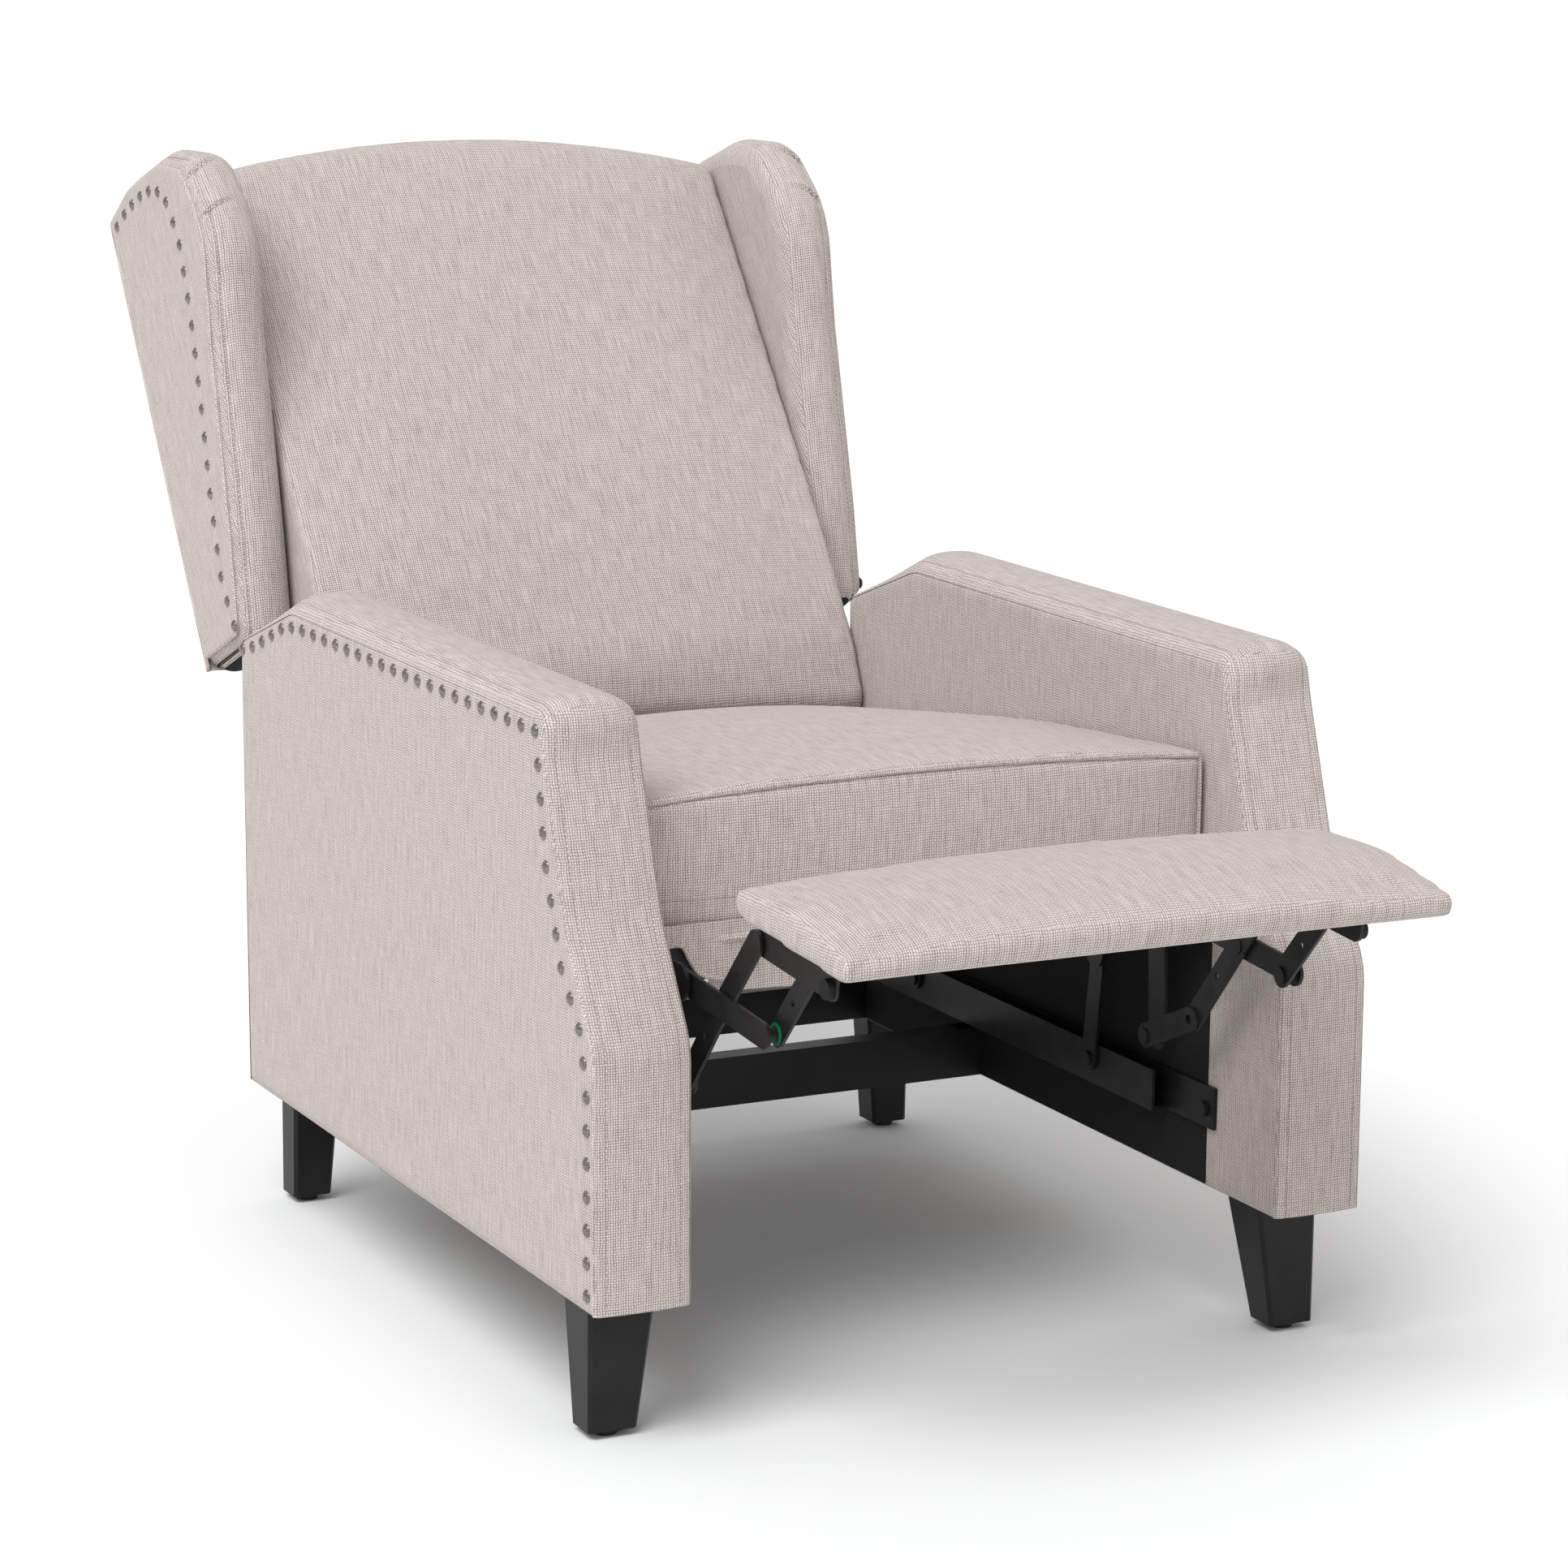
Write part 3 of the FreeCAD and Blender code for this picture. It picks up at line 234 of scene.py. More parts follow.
def stitches(name, runs, material, length=0.0032, pitch=0.0048, radius=0.00038):
    """Short thread dashes along runs of (point, outward direction) pairs, as one mesh."""
    verts, faces = [], []
    for run in runs:
        points = [p for p, _ in run]
        total = line_length(points)
        count = int(total / pitch)
        leg, done = 0, 0.0
        for i in range(count):
            want = (i + 0.5) * pitch
            while leg < len(points) - 2 and done + (points[leg + 1] - points[leg]).length < want:
                done += (points[leg + 1] - points[leg]).length
                leg += 1
            span = (points[leg + 1] - points[leg]).length
            if span == 0:
                continue
            share = (want - done) / span
            middle = points[leg].lerp(points[leg + 1], share)
            out = run[leg][1]
            along = (points[leg + 1] - points[leg]).normalized()
            across = along.cross(out).normalized()
            base = len(verts)
            for reach, thick in THREAD_RINGS:
                for k in range(THREAD_SIDES):
                    angle = 2 * pi * k / THREAD_SIDES
                    away = out * sin(angle) + across * cos(angle)
                    verts.append(middle + along * reach * length + away * radius * thick)
            last = base + (len(THREAD_RINGS) - 1) * THREAD_SIDES
            for ring in range(base, last, THREAD_SIDES):
                for k in range(THREAD_SIDES):
                    n = (k + 1) % THREAD_SIDES
                    ahead = ring + THREAD_SIDES
                    faces.append((ring + k, ring + n, ahead + n, ahead + k))
            faces.append(tuple(range(base + THREAD_SIDES - 1, base - 1, -1)))
            faces.append(tuple(range(last, last + THREAD_SIDES)))
    mesh = bpy.data.meshes.new(name)
    mesh.from_pydata([tuple(v) for v in verts], [], faces)
    tidy_normals(mesh)
    return new_object(name, mesh, material)


# Materials

def shader(name):
    material = bpy.data.materials.new(name)
    material.use_nodes = True
    tree = material.node_tree
    return material, tree, tree.nodes["Principled BSDF"]


def add(tree, kind, **values):
    node = tree.nodes.new(kind)
    for key, value in values.items():
        setattr(node, key, value)
    return node


def math_node(tree, operation, first, second=None, third=None):
    node = add(tree, "ShaderNodeMath", operation=operation)
    for index, value in enumerate((first, second, third)):
        if value is None:
            continue
        if isinstance(value, (int, float)):
            node.inputs[index].default_value = value
        else:
            tree.links.new(value, node.inputs[index])
    return node.outputs[0]


def ramp(tree, factor, stops):
    node = add(tree, "ShaderNodeValToRGB")
    node.color_ramp.elements[0].position = stops[0][0]
    node.color_ramp.elements[0].color = stops[0][1]
    node.color_ramp.elements[1].position = stops[-1][0]
    node.color_ramp.elements[1].color = stops[-1][1]
    for position, color in stops[1:-1]:
        node.color_ramp.elements.new(position).color = color
    tree.links.new(factor, node.inputs[0])
    return node.outputs[0]


def srgb(red, green, blue):
    """Linear colour of a display colour given in 0..255."""
    shares = [c / 255 for c in (red, green, blue)]
    linear = [c / 12.92 if c <= 10 / 255 else ((c + 0.055) / 1.055) ** 2.4 for c in shares]
    return (*linear, 1.0)


def grey(value):
    return (value, value, value, 1.0)


def flat_coordinates(tree, lean):
    """Two lengths along the cloth, from the piece's own place and the way its surface faces."""
    source = add(tree, "ShaderNodeTexCoord")
    place = add(tree, "ShaderNodeMapping")
    place.inputs["Rotation"].default_value = (lean, 0, 0)
    tree.links.new(source.outputs["Object"], place.inputs["Vector"])
    facing = add(tree, "ShaderNodeMapping", vector_type="NORMAL")
    facing.inputs["Rotation"].default_value = (lean, 0, 0)
    tree.links.new(source.outputs["Normal"], facing.inputs["Vector"])
    p = add(tree, "ShaderNodeSeparateXYZ")
    tree.links.new(place.outputs[0], p.inputs[0])
    n = add(tree, "ShaderNodeSeparateXYZ")
    tree.links.new(facing.outputs[0], n.inputs[0])
    nx, ny, nz = (math_node(tree, "ABSOLUTE", n.outputs[i]) for i in range(3))
    x, y, z = p.outputs[0], p.outputs[1], p.outputs[2]
    sideways = math_node(tree, "GREATER_THAN", nx, math_node(tree, "MAXIMUM", ny, nz))
    upwards = math_node(tree, "GREATER_THAN", nz, math_node(tree, "MAXIMUM", nx, ny))
    across = mix_value(tree, sideways, x, y)
    along = mix_value(tree, upwards, z, y)
    return across, along


def mix_value(tree, factor, first, second):
    node = add(tree, "ShaderNodeMix", data_type="FLOAT")
    tree.links.new(factor, node.inputs[0])
    tree.links.new(first, node.inputs[2])
    tree.links.new(second, node.inputs[3])
    return node.outputs[0]


def noise_node(tree, vector, scale, detail):
    node = add(tree, "ShaderNodeTexNoise")
    node.inputs["Scale"].default_value = scale
    node.inputs["Detail"].default_value = detail
    tree.links.new(vector, node.inputs["Vector"])
    return node.outputs[0]


YARN = 0.0021               # distance from one yarn to the next
SLUB = 0.030                # length of the uneven stretches of a yarn, down the cloth
CROSS_SLUB = 0.020          # and across it
# Yarn tones from dark to light; the dark end mostly colours the painted shade between yarns
LINEN_TONES = [(0.10, srgb(122, 106, 99)), (0.34, srgb(177, 165, 159)),
               (0.56, srgb(206, 197, 192)), (0.86, srgb(226, 220, 217))]


def linen(name, lean=0.0):
    """Slubbed plain weave: rounded yarns over and under, each with its own tone and thickness, with
    painted shade darkening the gaps between yarns and the yarns that pass under.
    """
    material, tree, surface = shader(name)
    across, along = flat_coordinates(tree, lean)
    place = add(tree, "ShaderNodeTexCoord").outputs["Object"]
    drift = math_node(tree, "SUBTRACT", noise_node(tree, place, 110.0, 1.0), 0.5)
    drift = math_node(tree, "MULTIPLY", drift, YARN)
    s = math_node(tree, "MULTIPLY", math_node(tree, "ADD", across, drift), pi / YARN)
    t = math_node(tree, "MULTIPLY", math_node(tree, "SUBTRACT", along, drift), pi / YARN)
    wave_s, wave_t = math_node(tree, "SINE", s), math_node(tree, "SINE", t)
    warp, weft = math_node(tree, "ABSOLUTE", wave_s), math_node(tree, "ABSOLUTE", wave_t)
    over = math_node(tree, "GREATER_THAN", math_node(tree, "MULTIPLY", wave_s, wave_t), 0.0)
    upper = math_node(tree, "MULTIPLY", warp, math_node(tree, "MULTIPLY_ADD", weft, 0.55, 0.45))
    lower = math_node(tree, "MULTIPLY", weft, math_node(tree, "MULTIPLY_ADD", warp, 0.65, 0.20))
    height = mix_value(tree, over, upper, lower)

    def threads(first, second, long):
        mixed = add(tree, "ShaderNodeCombineXYZ")
        tree.links.new(math_node(tree, "MULTIPLY", first, 0.9 / YARN), mixed.inputs[0])
        tree.links.new(math_node(tree, "MULTIPLY", second, 1.0 / long), mixed.inputs[1])
        return noise_node(tree, mixed.outputs[0], 1.0, 2.0)
    slub = threads(across, along, SLUB)
    cross_slub = threads(along, across, CROSS_SLUB)
    tone = math_node(tree, "MULTIPLY_ADD", slub, 0.38, -0.13)
    tone = math_node(tree, "ADD", tone, math_node(tree, "MULTIPLY", cross_slub, 0.16))
    # Painted shade: the weave's height darkens the colour in the gaps between yarns and on the
    # under-passing yarns
    tone = math_node(tree, "ADD", tone, math_node(tree, "MULTIPLY", height, 0.62))
    tree.links.new(ramp(tree, tone, LINEN_TONES), surface.inputs["Base Color"])
    surface.inputs["Roughness"].default_value = 0.94
    surface.inputs["Specular IOR Level"].default_value = 0.12
    surface.inputs["Sheen Weight"].default_value = 0.15
    surface.inputs["Sheen Roughness"].default_value = 0.5
    bump = add(tree, "ShaderNodeBump")
    bump.inputs["Strength"].default_value = 0.6
    bump.inputs["Distance"].default_value = 0.0008
    lumps = math_node(tree, "ADD", height, math_node(tree, "MULTIPLY", slub, 0.9))
    tree.links.new(lumps, bump.inputs["Height"])
    tree.links.new(bump.outputs[0], surface.inputs["Normal"])
    return material


def speckled(name, dark, light, roughness, scale=60.0, metallic=0.0, bump_size=0.0, coat=0.0):
    """Paint, lacquer, plastic or metal with slight variation in tone and gloss."""
    material, tree, surface = shader(name)
    source = add(tree, "ShaderNodeTexCoord")
    noise = add(tree, "ShaderNodeTexNoise")
    noise.inputs["Scale"].default_value = scale
    noise.inputs["Detail"].default_value = 4.0
    tree.links.new(source.outputs["Object"], noise.inputs["Vector"])
    color = ramp(tree, noise.outputs[0], [(0.35, dark), (0.65, light)])
    tree.links.new(color, surface.inputs["Base Color"])
    spread = math_node(tree, "MULTIPLY_ADD", noise.outputs[0], 0.16, roughness - 0.08)
    tree.links.new(spread, surface.inputs["Roughness"])
    surface.inputs["Metallic"].default_value = metallic
    surface.inputs["Specular IOR Level"].default_value = 0.5 if metallic else 0.28
    surface.inputs["Coat Weight"].default_value = coat
    if bump_size:
        grain = add(tree, "ShaderNodeTexNoise")
        grain.inputs["Scale"].default_value = scale * 12
        tree.links.new(source.outputs["Object"], grain.inputs["Vector"])
        bump = add(tree, "ShaderNodeBump")
        bump.inputs["Strength"].default_value = 0.4
        bump.inputs["Distance"].default_value = bump_size
        tree.links.new(grain.outputs[0], bump.inputs["Height"])
        tree.links.new(bump.outputs[0], surface.inputs["Normal"])
    return material


def wood(name, dark, light):
    material, tree, surface = shader(name)
    source = add(tree, "ShaderNodeTexCoord")
    place = add(tree, "ShaderNodeMapping")
    place.inputs["Scale"].default_value = (60, 6, 60)
    tree.links.new(source.outputs["Object"], place.inputs["Vector"])
    grain = add(tree, "ShaderNodeTexNoise")
    grain.inputs["Scale"].default_value = 1.5
    grain.inputs["Detail"].default_value = 6.0
    grain.inputs["Distortion"].default_value = 0.6
    tree.links.new(place.outputs[0], grain.inputs["Vector"])
    color = ramp(tree, grain.outputs[0], [(0.3, dark), (0.7, light)])
    tree.links.new(color, surface.inputs["Base Color"])
    surface.inputs["Roughness"].default_value = 0.7
    return material


BACK_LEAN = radians(33.3)
FABRIC = linen("linen")
FABRIC_BACK = linen("linen_back", lean=BACK_LEAN)
FABRIC_WELT = linen("linen_bias", lean=0.6)
THREAD = speckled("thread", srgb(150, 134, 122), srgb(176, 162, 151), 0.8, 300)
BLACKS = (grey(0.006), (0.014, 0.014, 0.015, 1))
CLOTH_BLACK = speckled("black_cloth", *BLACKS, 0.95, 400, bump_size=0.0004)
PAINT = speckled("black_paint", *BLACKS, 0.42, 45, bump_size=0.00008)
LACQUER = speckled("black_lacquer", grey(0.005), grey(0.010), 0.40, 25, bump_size=0.00005)
NAIL_METAL = speckled("pewter", srgb(112, 107, 101), srgb(152, 146, 140), 0.26, 500, metallic=1.0)
WIRE = speckled("spring_wire", srgb(90, 90, 92), srgb(130, 130, 132), 0.4, 200, metallic=1.0)
GREEN = speckled("green_nylon", srgb(10, 92, 58), srgb(18, 124, 80), 0.45, 120)
RUBBER = speckled("rubber", grey(0.010), grey(0.022), 0.75, 80)
PLASTIC = speckled("black_plastic", grey(0.010), grey(0.020), 0.5, 80)
TIMBER = wood("frame_timber", srgb(176, 140, 98), srgb(214, 182, 138))
# Painted shade: near-black timber for the seat and back frames, which lie in shade under the seat
# and behind the cushion
SHADE_BLACK_TIMBER = wood("timber_painted_shade_black", (0.010, 0.009, 0.009, 1), (0.020, 0.018, 0.017, 1))

SLOT_LOOKS = {"upholstery_fabric": FABRIC, "lining_cloth": CLOTH_BLACK, "frame_wood": TIMBER,
              "nail_metal": NAIL_METAL, "leg_wood": LACQUER, "glide_plastic": PLASTIC,
              "bolt_steel": PAINT, "spring_steel": WIRE, "washer_plastic": GREEN,
              "bumper_rubber": RUBBER, "mechanism_steel": PAINT}


def dress_nodes():
    """Each CAD piece that stays in view gets its finish; the seat and back frames get near-black
    timber as painted shade.
    """
    for entry in frame["record"]["subparts"]:
        obj = nodes[entry["node"]]
        for holder in obj.material_slots:
            holder.material = SLOT_LOOKS[entry["material_slot"]]
    # The seat and back frames take the near-black timber: painted shade, not the wood's own colour
    for name in ("seat_frame", "back_frame"):
        nodes[name].material_slots[0].material = SHADE_BLACK_TIMBER
    nodes["seat_cross_tube"].material_slots[0].material = PAINT


def finish_piece(obj, body):
    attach(obj, body)
    return obj


# Arms

ARM_OUTER = 0.350
ARM_INNER = 0.266
ARM_LINE = [(0.360, 0.115, 0), (0.367, 0.522, 0.010), (0.237, 0.567, 0.06),
            (-0.302, 0.565, 0.016), (-0.311, 0.530, 0.06), (-0.350, 0.412, 0.14),
            (-0.404, 0.322, 0.06), (-0.4055, 0.115, 0)]
ARM_CORNERS = ((0.366, 0.519), (-0.3015, 0.5615))
ROLL = 0.0022               # how far a panel's edge turns in at a seam
ROLL_WIDTH = 0.007
STITCH_SHARE = 0.76         # where the topstitch runs, from the band's middle line to its edge
BAND_SHARES = [0.0, 0.15, 0.3, 0.43, 0.55, 0.64, 0.70, 0.730, 0.745, 0.760, 0.775, 0.790,
               0.82, 0.87, 0.91, 0.945, 0.97, 0.988, 1.0]
CROWN_FRONT = 0.0030        # height of the band's crown down the front and rear
CROWN_TOP = 0.0135          # and what the arm's top adds to it
PANEL_CELL = 0.006
DIMPLE = 0.0007             # how far a nail draws the panel in
DIMPLE_WIDTH = 0.008


def spaced(length, cell, edge=0.0008):
    """Places from 0 to 1 along a length, closer together at both ends."""
    near = [edge * k * (k + 1) / 2 for k in range(1, 5)]
    inner = max(4, int((length - 2 * near[-1]) / cell))
    places = [0.0] + near
    places += [near[-1] + (length - 2 * near[-1]) * k / inner for k in range(1, inner)]
    places += [length - d for d in reversed(near)] + [length]
    return [p / length for p in places]


def along_line(line, share):
    want = share * (len(line) - 1)
    i = min(int(want), len(line) - 2)
    return line[i].lerp(line[i + 1], want - i)


def coons(bottom, top, rear, front, us, vs):
    """Grid of (y, z) places filling the four edge lines."""
    rows = []
    for v in vs:
        row = []
        left, right = along_line(rear, v), along_line(front, v)
        for u in us:
            low, high = along_line(bottom, u), along_line(top, u)
            place = low * (1 - v) + high * v + left * (1 - u) + right * u
            corner = (bottom[0] * (1 - v) + top[0] * v) * (1 - u)
            place -= corner + (bottom[-1] * (1 - v) + top[-1] * v) * u
            row.append(place)
        rows.append(row)
    return rows


def node_islands(name):
    """Middle of each separate solid of a CAD node."""
    mesh = nodes[name].data
    parent = list(range(len(mesh.vertices)))

    def root(i):
        while parent[i] != i:
            parent[i] = parent[parent[i]]
            i = parent[i]
        return i
    for edge in mesh.edges:
        a, b = root(edge.vertices[0]), root(edge.vertices[1])
        parent[a] = b
    groups = {}
    for vertex in mesh.vertices:
        key = tuple(round(c, 6) for c in vertex.co)
        groups.setdefault(key, []).append(vertex.index)
    for twins in groups.values():
        for other in twins[1:]:
            parent[root(other)] = root(twins[0])
    sets = {}
    for vertex in mesh.vertices:
        sets.setdefault(root(vertex.index), []).append(vertex.co)
    return [sum(points, Vector()) / len(points) for points in sets.values()]


def panel(name, side, x, puff, edges, nails, material, outward):
    """Flat upholstered panel whose edges turn in at the seams, dimpled under its nails."""
    bottom, top, rear, front = edges
    width, height = line_length(bottom), max(line_length(rear), line_length(front))
    us = spaced(max(width, line_length(top)), PANEL_CELL)
    vs = spaced(height, PANEL_CELL)
    rows = coons(bottom, top, rear, front, us, vs)
    grid = []
    for v, row in zip(vs, rows):
        out = []
        for u, place in zip(us, row):
            edge = min(u * width, (1 - u) * width, (1 - v) * height, v * height)
            lift = puff * smooth(0.05, edge) - ROLL * (1 - smooth(ROLL_WIDTH, edge))
            for nail in nails:
                gap = hypot(place.x - nail[0], place.y - nail[1])
                if gap < 0.03:
                    lift -= DIMPLE * exp(-(gap / DIMPLE_WIDTH) ** 2)
            out.append(side_point(side, x + outward * lift, place))
        grid.append(out)
    return grid_mesh(name, grid, material)


def crown_at(place, share):
    """Lift of the arm's band over its seams: full on top, flatter down the front and rear."""
    return (CROWN_FRONT + CROWN_TOP * smooth(0.05, place[1] - 0.525)) * (1 - abs(share) ** 2.6)


def band_point(side, share, spot):
    """Point of the band: share runs from -1 at the outer seam to 1 at the inner one."""
    x = (ARM_OUTER + ARM_INNER) / 2 - share * (ARM_OUTER - ARM_INNER - 0.001) / 2
    return side_point(side, x, spot)


def arm(name, side):
    count = 300
    line = resample(rounded(ARM_LINE, False, 0.004), count)
    outward = normals(line)
    a = nearest_index(line, ARM_CORNERS[0])
    b = nearest_index(line, ARM_CORNERS[1])
    rear, top, front = line[:a + 1], line[a:b + 1], list(reversed(line[b:]))
    bottom = [line[0].lerp(line[-1], k / 100) for k in range(101)]
    nails = [(c.y - SHIFT, c.z) for c in node_islands("arm_nails") if c.x * side > 0]
    edges = (bottom, top, rear, front)
    outer = panel("arm_outer_panel_" + name, side, ARM_OUTER, 0.0006, edges, nails, FABRIC, 1)
    inner = panel("arm_inner_panel_" + name, side, ARM_INNER, 0.0004, edges, [], FABRIC, -1)
    rows = []
    shares = [-u for u in reversed(BAND_SHARES[1:])] + BAND_SHARES
    stitch_out, stitch_in = [], []
    for place, out in zip(line, outward):
        row = []
        for u in shares:
            lift = crown_at(place, u) - ROLL * (1 - smooth(0.07, 1 - abs(u)))
            lift -= 0.0006 * exp(-((abs(u) - STITCH_SHARE) / 0.016) ** 2)
            row.append(band_point(side, u, place + out * lift))
        rows.append(row)
        for u, run in ((-STITCH_SHARE, stitch_out), (STITCH_SHARE, stitch_in)):
            spot = place + out * (crown_at(place, u) - 0.0004)
            run.append((band_point(side, u, spot), Vector((0, out.x, out.y))))
    band = grid_mesh("arm_band_" + name, rows, FABRIC)
    thread = stitches("arm_topstitch_" + name, [stitch_out, stitch_in], THREAD)
    edges = (ARM_OUTER - 0.002, ARM_INNER + 0.002)
    rows = [[side_point(side, x, p) for p in bottom] for x in edges]
    under = grid_mesh("arm_underside_" + name, rows, CLOTH_BLACK)
    lining(name, side)
    for piece in (outer, inner, band, thread):
        finish_piece(piece, "base")
    finish_piece(under, "base")
    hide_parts("arm_upholstery_" + name)


def lining(name, side):
    """Black cloth stapled inside the arm, below the seat."""
    low, high = 0.117, 0.330
    front, rear = -0.300, 0.355
    rows = []
    for r in range(31):
        z = low + (high - low) * r / 30
        row = []
        for c in range(91):
            y = front + (rear - front) * c / 90
            slack = 0.0004 * sin(y * 37 + z * 21) * sin(pi * r / 30)
            row.append(side_point(side, ARM_INNER - 0.0007 - abs(slack), (y, z)))
        rows.append(row)
    obj = grid_mesh("arm_lining_cloth_" + name, rows, CLOTH_BLACK)
    finish_piece(obj, "base")
    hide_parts("arm_lining_" + name)


# Padded forms

SIDE_LIMIT = 0.2656         # half width left between the arms and between the wings
VOXEL = 0.007               # cell of the even mesh that the cloth simulation runs on
PRESSURE = 4.0
SETTLED = 20                # frames that the skin takes to come to rest
EVENING = 60                # rounds of averaging that take the folds out of the skin's move


def solid(name, half, corners_at, count, material):
    """Closed form from -half to half: corners_at(x) gives a section's (y, z, radius) corners."""
    rows = []
    for k in range(-14, 15):
        x = half * sin(pi / 2 * k / 14)
        line = resample(rounded(corners_at(x), True, 0.004), count)[:-1]
        rows.append([Vector((x, p.x + SHIFT, p.y)) for p in line])
    return grid_mesh(name, rows, material, wrap=True, caps=True)


def coordinates(mesh):
    flat = np.zeros(len(mesh.vertices) * 3)
    mesh.vertices.foreach_get("co", flat)
    return flat.reshape(-1, 3)


def set_coordinates(mesh, places):
    mesh.vertices.foreach_set("co", places.astype(np.float32).ravel())
    mesh.update()


def applied(obj):
    """The object's mesh with its modifiers applied."""
    graph = bpy.context.evaluated_depsgraph_get()
    mesh = bpy.data.meshes.new_from_object(obj.evaluated_get(graph), depsgraph=graph)
    obj.modifiers.clear()
    old = obj.data
    obj.data = mesh
    bpy.data.meshes.remove(old)
    for polygon in mesh.polygons:
        polygon.use_smooth = True
    return mesh


def evened(mesh, values, rounds):
    """Values at the mesh's points, each averaged with its neighbours' again and again."""
    ends = np.zeros(len(mesh.edges) * 2, np.int64)
    mesh.edges.foreach_get("vertices", ends)
    a, b = ends[0::2], ends[1::2]
    total = len(values)
    share = np.bincount(a, minlength=total) + np.bincount(b, minlength=total)
    for _ in range(rounds):
        out = np.empty_like(values)
        for axis in range(values.shape[1]):
            column = values[:, axis]
            out[:, axis] = np.bincount(a, column[b], total) + np.bincount(b, column[a], total)
        values = values * 0.5 + out / np.maximum(share, 1)[:, None] * 0.5
    return values


def inflate(obj, voxel, most, wrinkles, held):
    """Even mesh, then a cloth skin under pressure.

    most caps how far the skin moves, and wrinkles is how much of its fine folding stays.
    held(places) says how firmly each point is kept (0 to 1).
    """
    remesh = obj.modifiers.new("even", "REMESH")
    remesh.mode = "VOXEL"
    remesh.voxel_size = voxel
    applied(obj)
    start = coordinates(obj.data)
    cloth = obj.modifiers.new("skin", "CLOTH")
    cloth.settings.use_pressure = True
    cloth.settings.uniform_pressure_force = PRESSURE
    cloth.settings.effector_weights.gravity = 0
    cloth.settings.quality = 4
    cloth.settings.tension_stiffness = 25
    cloth.settings.compression_stiffness = 25
    cloth.settings.bending_stiffness = 2.0
    group = obj.vertex_groups.new(name="held")
    for index, weight in enumerate(held(start)):
        if weight > 0:
            group.add([index], float(weight), "REPLACE")
    cloth.settings.vertex_group_mass = "held"
    for frame_number in range(1, SETTLED + 1):
        scene.frame_set(frame_number)
    mesh = applied(obj)
    places = coordinates(mesh)
    move = places - start
    even = evened(mesh, move, EVENING)
    move = even + (move - even) * wrinkles
    length = np.linalg.norm(move, axis=1, keepdims=True)
    scale = np.minimum(1.0, most / np.maximum(length, 1e-9))
    set_coordinates(mesh, start + move * scale)
    scene.frame_set(1)
    obj.vertex_groups.clear()
    finer = obj.modifiers.new("finer", "SUBSURF")
    finer.levels = finer.render_levels = 1
    applied(obj)


def keep_between_arms(obj):
    """The sides lie flat against the arms and wings."""
    places = coordinates(obj.data)
    places[:, 0] = np.clip(places[:, 0], -SIDE_LIMIT, SIDE_LIMIT)
    set_coordinates(obj.data, places)


def mesh_normals(mesh):
    flat = np.zeros(len(mesh.vertices) * 3, np.float32)
    mesh.vertices.foreach_get("normal", flat)
    return flat.reshape(-1, 3).astype(float)


def crease(obj, lines, width, depth):
    """Draw the surface in along lines of points, as a seam does."""
    places = coordinates(obj.data)
    outward = mesh_normals(obj.data)
    points = np.array([tuple(p) for line in lines for p in line])
    nearest = np.full(len(places), 1e9)
    low, high = points.min(0) - width, points.max(0) + width
    near = np.where(np.all((places > low) & (places < high), axis=1))[0]
    for start in range(0, len(near), 4000):
        part = near[start:start + 4000]
        gaps = np.linalg.norm(places[part][:, None, :] - points[None, :, :], axis=2)
        nearest[part] = gaps.min(1)
    share = np.clip(1 - nearest / width, 0, 1)
    places -= outward * (depth * share * share * (3 - 2 * share))[:, None]
    set_coordinates(obj.data, places)


def surface_tree(obj):
    graph = bpy.context.evaluated_depsgraph_get()
    return BVHTree.FromObject(obj, graph)


def on_surface(tree, points, lift):
    """Points moved to the surface, then out by lift, with the surface's normals."""
    found = [tree.find_nearest(p) for p in points]
    return [(place + normal * lift, normal) for place, normal, _, _ in found]


def even_line(points, pitch):
    """Evenly spaced points along a 3-D line."""
    total = line_length(points)
    return resample(points, max(2, round(total / pitch)))


def softened(points, rounds=6):
    for _ in range(rounds):
        inner = [(a + b * 2 + c) / 4 for a, b, c in zip(points, points[1:], points[2:])]
        points = [points[0], *inner, points[-1]]
    return points


# Back, in its own axes: rise up the rear face and depth in front of it

BACK_FOOT = (0.5325, 0.4636)
BACK_HEIGHT = 0.487
BACK_HALF = 0.262
CUSHION_HALF = 0.2652       # the cushion's cover reaches past the solid, to the wings
UNDER_START = (-0.1548, 0.1283)     # rise and depth of the underside cloth's front edge
UNDER_RISE = 0.132
UNDER_REAR = 0.0465                 # depth of its rear edge
UNDER_HALF = 0.2355


def back_place(rise, depth):
    return Vector((BACK_FOOT[0] + rise * sin(BACK_LEAN) - depth * cos(BACK_LEAN),
                   BACK_FOOT[1] + rise * cos(BACK_LEAN) + depth * sin(BACK_LEAN)))


def back_point(x, rise, depth):
    place = back_place(rise, depth)
    return Vector((x, place.x + SHIFT, place.y))


